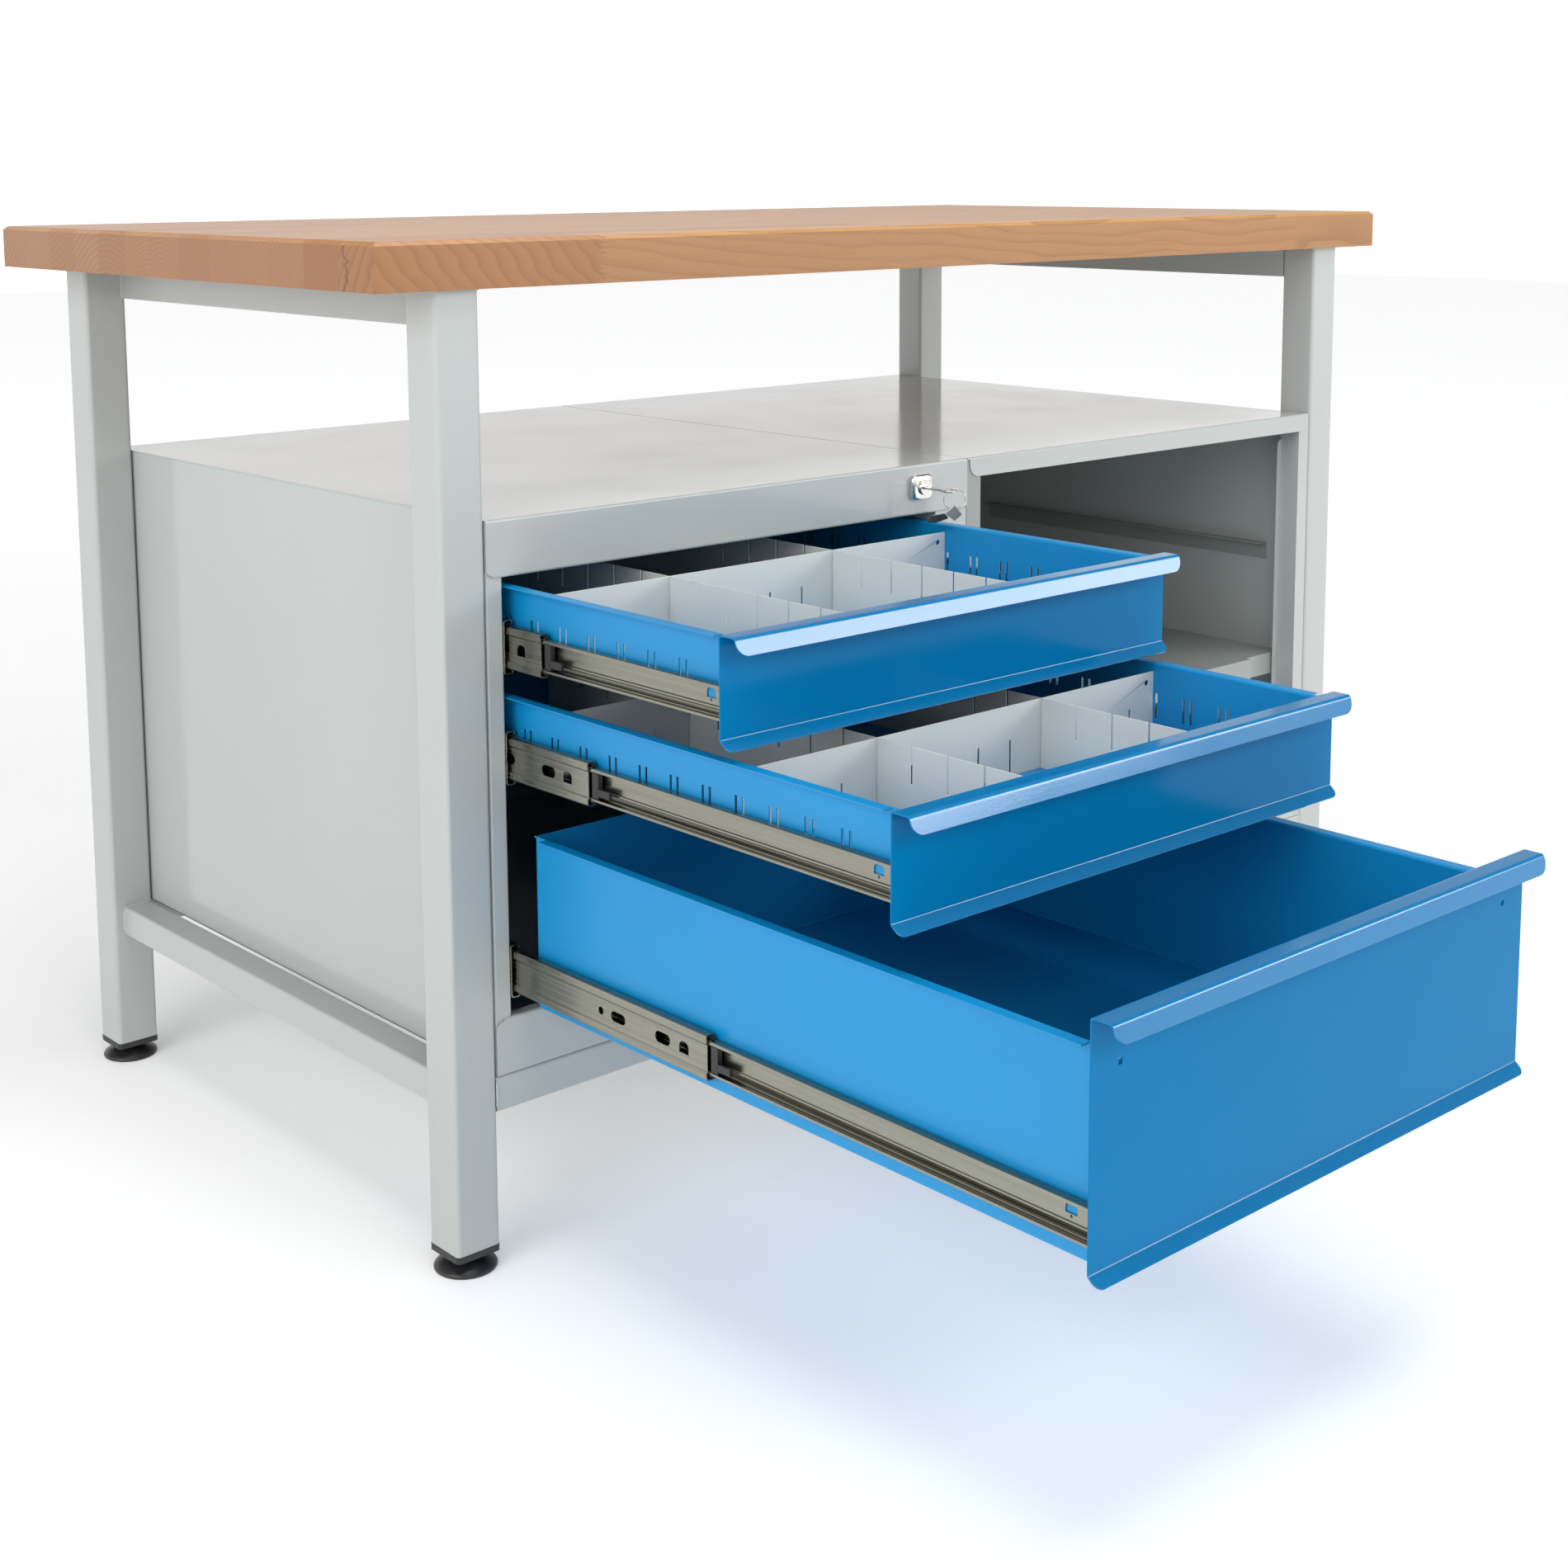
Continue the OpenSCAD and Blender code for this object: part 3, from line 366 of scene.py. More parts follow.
def beech_crack(s, tone, x, y, end_grain):
    """A drying crack down the left end, wavering with the height, in a stained strip."""
    waver = s.noise(scale=1.0, detail=4, source=s.stretched((0, 8, 95)), rough=0.65)
    waver = s.times(s.math("SUBTRACT", waver, 0.5), CRACK_WAVER)
    off = s.math("ABSOLUTE", s.plus(s.plus(y, CRACK_AT), waver))
    here = s.times(end_grain, s.math("LESS_THAN", x, 0.0))
    stain = s.times(here, s.remap(off, 0.40, 0.0, low=0.0005, high=0.0045))
    gap = s.times(here, s.remap(off, 0.85, 0.0, low=0.0004, high=0.0010))
    return s.mix(gap, s.mix(stain, tone, BEECH_LINE), CRACK_COLOUR)


def beech_board():
    """Glued beech staves: each has its own tone and its own growth rings, which show as arcs on
    the ends and as streaks and flames on the faces; finger joints divide the staves."""
    s = Shading("beech_board")
    split = s.node("SeparateXYZ")
    s.feed(split.inputs[0], s.place)
    x, y, z = split.outputs
    stave, fingers, run, drawn = beech_lengths(s, x, y, z)
    four, five, six = drawn[3:]
    first = s.math("LESS_THAN", stave, 0.5)
    corner = s.times(first, s.math("LESS_THAN", s.plus(x, fingers), -FIRST_JOINT))
    beside = s.math("SUBTRACT", first, corner)
    late = growth_rings(s, x, y, z, drawn, first, corner)

    face = s.node("NewGeometry")
    normal = s.node("SeparateXYZ")
    s.feed(normal.inputs[0], face.outputs["Normal"])
    end_grain = s.math("GREATER_THAN", s.math("ABSOLUTE", normal.outputs["X"]), 0.8)

    broad = s.noise(scale=1.0, detail=3, source=s.stretched((1.2, 26, 26)))
    flecks = s.noise(scale=1.0, detail=2, source=s.stretched((130, 900, 900)))
    fibres = s.noise(scale=1.0, detail=3, source=s.stretched((9, 620, 620)))
    contrast = s.remap(four, 0.30, 0.55, low=0.0, high=1.0)
    contrast = s.plus(contrast, s.times(end_grain, 0.30))
    tone = s.mix(six, BEECH_LIGHT, BEECH_DARK)
    tone = s.mix(s.times(five, 0.7), tone, BEECH_PINK)
    tone = s.mix(s.times(corner, 0.75), tone, BEECH_CORNER)
    tone = s.mix(s.times(beside, 0.70), tone, BEECH_YELLOW)
    tone = s.mix(s.remap(broad, 0.0, 0.45), tone, BEECH_DARK)
    tone = s.mix(s.times(late, contrast), tone, BEECH_LINE)
    tone = s.mix(s.remap(flecks, 0.0, 0.30, low=0.60, high=0.72), tone, BEECH_LINE)
    tone = s.mix(s.remap(fibres, 0.0, 0.20), tone, BEECH_DARK)
    tone = s.mix(s.times(end_grain, 0.55), tone, BEECH_LINE)
    tone = beech_crack(s, tone, x, y, end_grain)

    edge = s.math("PINGPONG", s.plus(y, WORKTOP_DEPTH / 2), STAVE / 2)
    glue = s.math("LESS_THAN", edge, SEAM_HALF)
    joint = s.math("LESS_THAN", s.math("PINGPONG", run, 0.5), JOINT_HALF)
    seam = s.math("MAXIMUM", glue, joint)
    tone = s.mix(s.times(seam, 0.45), tone, BEECH_LINE)

    s.set(Base_Color=tone, Roughness=s.remap(fibres, 0.28, 0.42), Specular_IOR_Level=0.5)
    s.bump(fibres, strength=0.12, distance=0.0003)
    s.bump(late, strength=0.06, distance=0.0003)
    return s.material


def pale_floor():
    """White matt floor, which glows more the farther it is from the bench."""
    s = Shading("pale_floor")
    dust = s.noise(scale=3, detail=3)
    away = s.node("VectorMath", operation="LENGTH")
    s.feed(away.inputs[0], s.place)
    glow = s.remap(away.outputs["Value"], 0.22, 0.62, low=1.2, high=4.5)
    s.set(Base_Color=s.mix(dust, (0.86, 0.86, 0.86), (0.89, 0.89, 0.89)))
    s.set(Roughness=0.9, Specular_IOR_Level=0.2)
    s.set(Emission_Color=(1, 1, 1, 1), Emission_Strength=glow)
    return s.material


STEEL_GREY = (0.410, 0.432, 0.422)
ROLLED_ALONG_Y = (420, 5, 420)
FINISH = {
    "beech": beech_board(),
    "frame_paint": powder_coat("frame_coat", STEEL_GREY, 0.32),
    "cabinet_paint": powder_coat("cabinet_coat", STEEL_GREY, 0.12, 0.04),
    "drawer_paint": powder_coat("drawer_coat", (0.002, 0.225, 0.500), 0.34, 0.10, 0.4),
    # The fronts' blue is a darker copy of the drawer blue: painted shade for the fronts, which face away from
    # the main light. Their sloping lips also get a painted sheen.
    "front_paint": powder_coat("front_coat_painted_shade", (0.001, 0.160, 0.375), 0.13, 0.07, 0.08, 0.75),
    "divider_paint": powder_coat("divider_coat", (0.610, 0.630, 0.600), 0.42),
    "slide_zinc": plated_steel("slide_zinc_plate", (0.30, 0.295, 0.255), 0.25, ROLLED_ALONG_Y),
    # The shelf cabinet's grey is darker than the cabinet's own: painted shade for the inside of the open
    # cabinet. It also colours the back's outer face.
    "shelf_paint_painted_shade": powder_coat("shelf_coat_painted_shade", (0.270, 0.290, 0.280), 0.22),
    "fastener_zinc": plated_steel("fastener_zinc_plate", (0.62, 0.63, 0.62), 0.34, (300, 300, 300)),
    "cap_plastic": moulded_plastic("cap_black", (0.012, 0.012, 0.012), 0.42),
    "foot_plastic": moulded_plastic("foot_black", (0.010, 0.010, 0.011), 0.36),
    "stop_plastic": moulded_plastic("stop_black", (0.012, 0.012, 0.013), 0.45),
    "lock_chrome": polished_metal("lock_chrome_plate", (0.74, 0.74, 0.72), 0.10),
    "key_nickel": polished_metal("key_nickel_plate", (0.66, 0.65, 0.60), 0.16),
    "key_plastic": moulded_plastic("key_black", (0.013, 0.013, 0.014), 0.34),
}


# ---- building blocks -----------------------------------------------------

def placed(a, b, along, axis):
    """A point from its two coordinates across the axis, in x-y-z order, and the one along it."""
    return {"x": (along, a, b), "y": (a, along, b), "z": (a, b, along)}[axis]


def turned(points, radii, steps=5):
    """A bent line in two dimensions, with each inner corner rounded to its radius."""
    if not isinstance(radii, (list, tuple)):
        radii = [radii] * (len(points) - 2)
    points = [Vector(p) for p in points]
    result = [points[0]]
    for before, corner, after, radius in zip(points, points[1:], points[2:], radii):
        back = (before - corner).normalized()
        ahead = (after - corner).normalized()
        half = back.angle(ahead) / 2
        centre = corner + (back + ahead).normalized() * (radius / math.sin(half))
        first = corner + back * (radius / math.tan(half)) - centre
        last = corner + ahead * (radius / math.tan(half)) - centre
        sweep = math.pi - 2 * half
        for step in range(steps + 1):
            share = step / steps
            arm = first * math.sin((1 - share) * sweep) + last * math.sin(share * sweep)
            result.append(centre + arm / math.sin(sweep))
    result.append(points[-1])
    return result


def distances(path):
    """How far along the path each of its points is."""
    result = [0.0]
    for a, b in zip(path, path[1:]):
        result.append(result[-1] + (b - a).length)
    return result


def point_at(path, marks, distance):
    """The point of the path at a distance along it, by the distances of its own points."""
    for a, b, start, end in zip(path, path[1:], marks, marks[1:]):
        if distance <= end + 1e-9:
            return a.lerp(b, min(1.0, max(0.0, (distance - start) / max(end - start, 1e-9))))
    return path[-1]


def station(path, spot):
    """The distance along the path of its point nearest to the spot."""
    spot = Vector(spot)
    marks = distances(path)
    found = []
    for a, b, start in zip(path, path[1:], marks):
        share = min(1.0, max(0.0, (spot - a).dot(b - a) / (b - a).length_squared))
        nearest = a.lerp(b, share)
        found.append(((nearest - spot).length, start + share * (b - a).length))
    return min(found)[1]


def folded(mesh, path, low, high, axis, holes=(), ends=None, extra=()):
    """Adds the middle surface of a folded sheet: the path, carried along the axis. A hole is
    (start, end, low, high), distances along the path and places on the axis. ends(distance)
    gives how far the sheet reaches there."""
    marks = distances(path)
    cuts = [v for hole in holes for v in hole[:2]]
    stations = sorted({round(min(max(v, 0), marks[-1]), 6) for v in [*marks, *cuts, *extra]})
    columns = sorted({round(v, 6) for v in [low, high, *(v for hole in holes for v in hole[2:])]})
    columns = [c for c in columns if low - 1e-6 <= c <= high + 1e-6]
    rows = []
    for distance in stations:
        a, b = point_at(path, marks, distance)
        near, far = ends(distance) if ends else (low, high)
        rows.append([mesh.verts.new(placed(a, b, min(max(c, near), far), axis)) for c in columns])
    for i, (start, end) in enumerate(zip(stations, stations[1:])):
        for j, (left, right) in enumerate(zip(columns, columns[1:])):
            middle, across = (start + end) / 2, (left + right) / 2
            if not any(h[0] < middle < h[1] and h[2] < across < h[3] for h in holes):
                mesh.faces.new((rows[i][j], rows[i][j + 1], rows[i + 1][j + 1], rows[i + 1][j]))
    bmesh.ops.delete(mesh, geom=[v for v in mesh.verts if not v.link_faces], context="VERTS")


def plate(mesh, loops, at, axis):
    """Adds a flat middle surface inside the first loop and outside the others."""
    edges = []
    for loop in loops:
        corners = [mesh.verts.new(placed(a, b, at, axis)) for a, b in loop]
        edges += [mesh.edges.new(pair) for pair in zip(corners, corners[1:] + corners[:1])]
    bmesh.ops.triangle_fill(mesh, use_beauty=True, edges=edges)


def ring_of(radius, count, a=0.0, b=0.0, start=0.0, end=360.0):
    """Points on a circle or an arc, in the plane's two coordinates."""
    closed = abs(end - start) >= 360
    steps = count if closed else count - 1
    turns = [math.radians(start + (end - start) * i / steps) for i in range(count)]
    return [(a + radius * math.cos(t), b + radius * math.sin(t)) for t in turns]


def rounded_box(a0, b0, a1, b1, radius, count=6):
    """Outline of a rectangle with round corners."""
    points = ring_of(radius, count, a1 - radius, b1 - radius, 0, 90)
    points += ring_of(radius, count, a0 + radius, b1 - radius, 90, 180)
    points += ring_of(radius, count, a0 + radius, b0 + radius, 180, 270)
    points += ring_of(radius, count, a1 - radius, b0 + radius, 270, 360)
    return points


def arched(a0, b0, a1, b1, radius, count=7):
    """Outline with a flat bottom and round upper corners, as a D lying on its back."""
    return [(a0, b0), (a1, b0), *rounded_box(a0, b0, a1, b1, radius, count)[:2 * count]]


def block(mesh, low, high):
    """Adds a closed box from corner to corner."""
    made = bmesh.ops.create_cube(mesh, size=1)["verts"]
    low, high = Vector(low), Vector(high)
    bmesh.ops.scale(mesh, verts=made, vec=high - low)
    bmesh.ops.translate(mesh, verts=made, vec=(low + high) / 2)


def skin(mesh, rows):
    """Adds faces between each ring of corners and the next."""
    for row, following in zip(rows, rows[1:]):
        for i in range(len(row)):
            j = (i + 1) % len(row)
            mesh.faces.new((row[i], row[j], following[j], following[i]))


def stacked(mesh, loops):
    """Adds a skin through loops with the same number of points, closed at both ends."""
    rows = [[mesh.verts.new(p) for p in loop] for loop in loops]
    skin(mesh, rows)
    mesh.faces.new(rows[0][::-1])
    mesh.faces.new(rows[-1])


def lathed(mesh, profile, centre, count=72):
    """Adds a solid of revolution round an upright axis: profile points are (radius, height)."""
    x, y, z = Vector(centre)
    stacked(mesh, [[(x + a, y + b, z + up) for a, b in ring_of(r, count)] for r, up in profile])


def tube(mesh, points, thickness, count=10):
    """Adds a round rod along the points; thickness(i) is its radius at point i."""
    points = [Vector(p) for p in points]
    last = len(points) - 1
    loops = []
    side = None
    for i, point in enumerate(points):
        heading = (points[min(i + 1, last)] - points[max(i - 1, 0)]).normalized()
        guide = side or (Vector((0, 0, 1)) if abs(heading.z) < 0.8 else Vector((1, 0, 0)))
        side = (guide - heading * guide.dot(heading)).normalized()
        other = heading.cross(side)
        loops.append([point + side * a + other * b for a, b in ring_of(thickness(i), count)])
    stacked(mesh, loops)


def piece(name, mesh, finish, body, stands_for=()):
    """Turns the mesh into a piece that rides on a body and stands for CAD nodes."""
    data = bpy.data.meshes.new(name)
    bmesh.ops.recalc_face_normals(mesh, faces=mesh.faces)
    mesh.to_mesh(data)
    mesh.free()
    data.polygons.foreach_set("use_smooth", [True] * len(data.polygons))
    data.materials.append(FINISH[finish])
    thing = bpy.data.objects.new(name, data)
    bpy.context.scene.collection.objects.link(thing)
    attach(thing, body)
    if stands_for:
        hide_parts(*stands_for)
    return thing


def soften(thing, width, segments=2, angle=35):
    """Rounds the edges a little, so that they catch the light, and evens the shading."""
    bevel = thing.modifiers.new("soft_edges", "BEVEL")
    bevel.width = width
    bevel.segments = segments
    bevel.limit_method = "ANGLE"
    bevel.angle_limit = math.radians(angle)
    even = thing.modifiers.new("even_normals", "WEIGHTED_NORMAL")
    even.weight = 50
    return thing


def sheet_piece(name, mesh, thickness, finish, body, stands_for=(), edge=0.25 * MM):
    """A piece of sheet metal from its middle surface."""
    thing = piece(name, mesh, finish, body, stands_for)
    wall = thing.modifiers.new("thickness", "SOLIDIFY")
    wall.thickness = thickness
    wall.offset = 0
    wall.use_even_offset = True
    return soften(thing, edge)


# ---- CAD solids that stay, with soft edges and their finish ---------------

# Finish, width of the soft edges in millimetres, their segments, and the nodes
KEPT = (
    ("beech", 0.7, 3, ["worktop"]),
    ("frame_paint", 0.35, 2, ["leg_" + corner for corner in CORNERS]),
    ("frame_paint", 0.8, 3, ["top_rail_left", "top_rail_right"]),
    ("frame_paint", 0.3, 2, ["lower_rail_" + side for side in ("left", "right", "front", "rear")]),
    ("cap_plastic", 0.7, 3, ["leg_end_caps"]),
    ("cabinet_paint", 0.35, 2, [
        "drawer_cabinet_right_side", "drawer_cabinet_back", "slide_posts",
        "shelf_cabinet_right_side", "shelf_cabinet_bottom",
    ]),
    # The open cabinet's inner parts take the darker grey, which paints the shade inside the cabinet.
    ("shelf_paint_painted_shade", 0.35, 2, [
        "shelf_cabinet_left_side", "shelf_cabinet_back", "shelf", "shelf_ledges",
    ]),
    ("divider_paint", 0.2, 2, [
        "long_dividers_top", "long_dividers_middle", "cross_divider_top", "cross_dividers_middle",
    ]),
    ("fastener_zinc", 0.5, 2, ["worktop_screws", "cabinet_bolts"]),
    ("fastener_zinc", 0.3, 2, ["lock_cam", "lock_bar"]),
    ("fastener_zinc", 0.2, 2, ["slide_screws"]),
    ("key_nickel", 0.35, 3, ["lock_core"]),
)


def dress_kept_nodes():
    """Gives the CAD's own solids their finish; their split faces are joined before the bevel."""
    for finish, edge, segments, names in KEPT:
        for node in [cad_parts[name] for name in names]:
            for slot in node.material_slots:
                slot.material = FINISH[finish]
            weld = node.modifiers.new("joined_faces", "WELD")
            weld.merge_threshold = 1e-6
            soften(node, edge * MM, segments)


# ---- cabinets ------------------------------------------------------------

CABINET_SHEET = 1.2 * MM
SEAM = 0.5 * MM
FOLD = 1.5 * MM
TOP_FLANGE = 19 * MM
LEFT_GAP = 17 * MM
BAND_LIP = 13 * MM
BAND_GAP = 46 * MM
BAND_ROUND = 6 * MM
JAMB = 39 * MM
FLOOR_LIP = 11 * MM
FLOOR_GAP = 43 * MM
FLOOR_ROUND = 8 * MM
SHELF_BAND_INSET = 3 * MM
SHELF_BAND_ROUND = 12 * MM
SHELF_BAND_STEP = 0.2 * MM


def corner_ends(low, high, edge, radius, sides):
    """How far a sheet reaches at each distance when its corners at the edge are round; edge and
    radius are distances along the path, and sides says which ends are rounded."""
    def reach(distance):
        rest = radius - min(radius, abs(edge - distance))
        inset = radius - math.sqrt(max(0.0, radius ** 2 - rest ** 2))
        return low + inset * sides[0], high - inset * sides[1]
    return reach


def arc_stations(edge, radius, direction, steps=8):
    """Distances at which a rounded corner needs points."""
    turns = [math.pi / 2 * i / steps for i in range(steps + 1)]
    return [edge + direction * radius * (1 - math.cos(turn)) for turn in turns]


def cabinet_piece(name, mesh, node):
    sheet_piece(name, mesh, CABINET_SHEET, "cabinet_paint", "frame", [node])


def banded_sheet(name, node, low, high, corners, fold_at, lip_at, gap, radius):
    """A top or a floor with a band in front of it, whose left end is round where it meets its
    lip. The lip is cut away where the jambs stand."""
    path = turned(corners, FOLD)
    fold, lip, total = station(path, fold_at), station(path, lip_at), distances(path)[-1]
    holes = [(lip, total, low.x, low.x + LEFT_GAP), (lip, total, high.x - gap, high.x)]
    reach = corner_ends(low.x, high.x, fold, radius, (1, 0))

    def ends(distance):
        return reach(min(distance, fold))

    mesh = bmesh.new()
    folded(mesh, path, low.x, high.x, "x", holes, ends, arc_stations(fold, radius, -1))
    cabinet_piece(name, mesh, node)


def drawer_cabinet_top():
    low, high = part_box("drawer_cabinet_top")
    high.x -= SEAM
    half = CABINET_SHEET / 2
    back, front, top, base = high.y - half, low.y + half, high.z - half, low.z + half
    band = [(front, top), (front, base), (front + BAND_LIP, base)]
    banded_sheet("drawer_cabinet_top_sheet", "drawer_cabinet_top", low, high,
                 [(back, top - TOP_FLANGE), (back, top), *band],
                 (front, base + FOLD), (front + FOLD, base), BAND_GAP, BAND_ROUND)


def drawer_cabinet_left():
    """The side wall, its front and the jamb turned in behind it."""
    low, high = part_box("drawer_cabinet_left_side")
    half = CABINET_SHEET / 2
    mesh = bmesh.new()
    side, front, inner = low.x + half, low.y + half, high.x - half
    path = turned([(side, high.y), (side, front), (inner, front), (inner, front + JAMB)], FOLD)
    folded(mesh, path, low.z, high.z, "z")
    cabinet_piece("drawer_cabinet_left_sheet", mesh, "drawer_cabinet_left_side")


def drawer_cabinet_floor():
    low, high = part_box("drawer_cabinet_bottom")
    half = CABINET_SHEET / 2
    front, base, top = low.y + half, low.z + half, high.z - half
    banded_sheet("drawer_cabinet_floor_sheet", "drawer_cabinet_bottom", low, high,
                 [(high.y, base), (front, base), (front, top), (front + FLOOR_LIP, top)],
                 (front, top - FOLD), (front + FOLD, top), FLOOR_GAP, FLOOR_ROUND)


def shelf_cabinet_top():
    """The top, whose front band stands a little inside its ends and has round lower corners."""
    low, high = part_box("shelf_cabinet_top")
    low.x += SEAM
    half = CABINET_SHEET / 2
    back, front, top = high.y - half, low.y + half, high.z - half
    mesh = bmesh.new()
    path = turned([(back, top - TOP_FLANGE), (back, top), (front, top), (front, high.z - TOP_FLANGE)], FOLD)
    total = distances(path)[-1]
    left, right = low.x + SHELF_BAND_INSET, high.x - SHELF_BAND_INSET
    reach = corner_ends(left, right, total, SHELF_BAND_ROUND, (1, 1))
    start = station(path, (front, top - FOLD))

    def ends(distance):
        return reach(distance) if distance > start - SHELF_BAND_STEP / 2 else (low.x, high.x)

    extra = [start - SHELF_BAND_STEP, *arc_stations(total, SHELF_BAND_ROUND, -1)]
    folded(mesh, path, low.x, high.x, "x", (), ends, extra)
    cabinet_piece("shelf_cabinet_top_sheet", mesh, "shelf_cabinet_top")


# ---- drawers -------------------------------------------------------------

FRONT_SHEET = 1.2 * MM
BOX_SHEET = 1.0 * MM
FRONT_FOLDS = (2.2 * MM, 1.6 * MM, 2.6 * MM)
HANDLE_OUT = 16.6 * MM
HANDLE_LIP = (4.5 * MM, 13 * MM)
HANDLE_ROUND = 11 * MM
FOOT_LIP = (8.6 * MM, 7.5 * MM)
FOOT_ROUND = 7 * MM
FOOT_RISE = 0.45 * MM
MARK_TOP = 33 * MM
MARK_BASE = 38 * MM
MARK_DEEP = 2.4 * MM
MARK_INSET = 26 * MM
MARK_WIDE = 4 * MM
MARK_CLEAR = 0.2 * MM
BOX_FOLD = 1.6 * MM
FLANGE = 10 * MM
FLANGE_CUT = 8 * MM
FLANGE_FRONT = 11 * MM
FLANGE_REAR = 16 * MM
BACK_FLANGE = 9 * MM
TAB_FOLD = 1.4 * MM
TAB_BACK = 9 * MM
TAB_WIDE = 12 * MM
TAB_DROP = 5 * MM
LUG_LOW = {"top": 556 * MM, "middle": 464 * MM, "bottom": 350.5 * MM}
LUG_TALL = 8 * MM
LUG_OUT = 7 * MM
LUG_ROOT = 0.6 * MM
LUG_BACK = 9.5 * MM
SLOT_FIRST = 58 * MM
SLOT_PITCH = 37.5 * MM
SLOT_APART = 8 * MM
SLOT_WIDTH = 2.6 * MM
SLOT_LENGTH = 22 * MM
SLOT_DROP = 26 * MM
SLOT_PAIRS = 14


def drawer_front(label, marked):
    """The front with its handle folded forward at the top and its lip at the bottom, and with
    a small pressed-in mark near each end if it is marked."""
    low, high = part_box("drawer_front_" + label)
    half = FRONT_SHEET / 2
    plane = high.y - half
    top = high.z - half
    fold = low.z + FOOT_LIP[1] + FOOT_RISE
    path = turned([
        (plane - FOOT_LIP[0], fold - FOOT_LIP[1]),
        (plane, fold),
        (plane, top),
        (plane - HANDLE_OUT, top),
        (plane - HANDLE_OUT - HANDLE_LIP[0], top - HANDLE_LIP[1]),
    ], FRONT_FOLDS, 6)
    total = distances(path)[-1]
    at_foot = corner_ends(low.x, high.x, 0, FOOT_ROUND, (1, 1))
    at_handle = corner_ends(low.x, high.x, total, HANDLE_ROUND, (1, 1))

    def ends(distance):
        return at_foot(distance) if distance < total / 2 else at_handle(distance)

    extra = arc_stations(0, FOOT_ROUND, 1) + arc_stations(total, HANDLE_ROUND, -1, 10)
    mark_high = station(path, (plane, high.z - MARK_TOP))
    mark_low = station(path, (plane, high.z - MARK_BASE))
    marks = [
        (mark_low, mark_high, low.x + MARK_INSET, low.x + MARK_INSET + MARK_WIDE),
        (mark_low, mark_high, high.x - MARK_INSET - MARK_WIDE, high.x - MARK_INSET),
    ] if marked else []
    mesh = bmesh.new()
    folded(mesh, path, low.x, high.x, "x", marks, ends, extra)
    for _, _, left, right in marks:
        tongue = turned([
            (plane, high.z - MARK_TOP + 1 * MM),
            (plane + 0.3 * MM, high.z - MARK_TOP - 0.5 * MM),
            (plane + MARK_DEEP, high.z - MARK_BASE),
        ], 1 * MM, 3)
        folded(mesh, tongue, left + MARK_CLEAR, right - MARK_CLEAR, "x")
    sheet_piece(label + "_drawer_front", mesh, FRONT_SHEET, "front_paint", "drawer_" + label,
                ["drawer_front_" + label], 0.3 * MM)


def wall_slots(path, wall, high, front):
    """Pairs of slots in one wall of a drawer, as holes of the folded sheet."""
    upper = station(path, (wall, high - SLOT_DROP))
    lower = station(path, (wall, high - SLOT_DROP - SLOT_LENGTH))
    start, end = sorted((upper, lower))
    holes = []
    for pair in range(SLOT_PAIRS):
        middle = front + SLOT_FIRST + SLOT_PITCH * pair
        for centre in (middle - SLOT_APART / 2, middle + SLOT_APART / 2):
            holes.append((start, end, centre - SLOT_WIDTH / 2, centre + SLOT_WIDTH / 2))
    return holes


def drawer_box(label, slotted):
    """A box folded from one sheet, with its walls' edges turned outwards, a back wall, tabs
    behind the front and the lug that the locking bar holds."""
    low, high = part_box("drawer_box_" + label)
    half = BOX_SHEET / 2
    left, right = low.x + FLANGE + half, high.x - FLANGE - half
    top, base = high.z - half, low.z + half
    corners = [(low.x, top), (left, top), (left, base), (right, base), (right, top), (high.x, top)]
    path = turned(corners, BOX_FOLD)
    total = distances(path)[-1]
    front_end = low.y + FLANGE_FRONT
    holes = [(0, FLANGE_CUT, low.y, front_end), (total - FLANGE_CUT, total, low.y, front_end)]
    if slotted:
        holes += wall_slots(path, left, high.z, low.y)
        holes += wall_slots(path, right, high.z, low.y)
    else:
        holes.append((0, FLANGE_CUT, high.y - FLANGE_REAR, high.y))
    mesh = bmesh.new()
    folded(mesh, path, low.y, high.y, "y", holes)

    back = high.y - half
    back_path = turned([(back - BACK_FLANGE, base + half), (back, base + half), (back, top)], BOX_FOLD)
    folded(mesh, back_path, left + half, right - half, "x")
    for inner, outer in ((left, left + TAB_WIDE), (right, right - TAB_WIDE)):
        tab = [(inner, low.y + TAB_BACK), (inner, low.y + half), (outer, low.y + half)]
        folded(mesh, turned(tab, TAB_FOLD), base, top - TAB_DROP, "z")
    lug_low = LUG_LOW[label]
    lug_at = low.y + LUG_BACK
    lug = [(right, low.y + TAB_BACK), (right + LUG_ROOT, lug_at), (right + LUG_OUT, lug_at)]
    folded(mesh, turned(lug, 0.3 * MM, 3), lug_low, lug_low + LUG_TALL, "z")
    sheet_piece(label + "_drawer_box", mesh, BOX_SHEET, "drawer_paint", "drawer_" + label,
                ["drawer_box_" + label])


# ---- slides --------------------------------------------------------------

SLIDE_SHEET = 1.2 * MM
SLIDE_BACK = 4.6 * MM
WINDOW_LONG = 18 * MM
WINDOW_HALF = 4.5 * MM
WINDOW_ROUND = 4.4 * MM
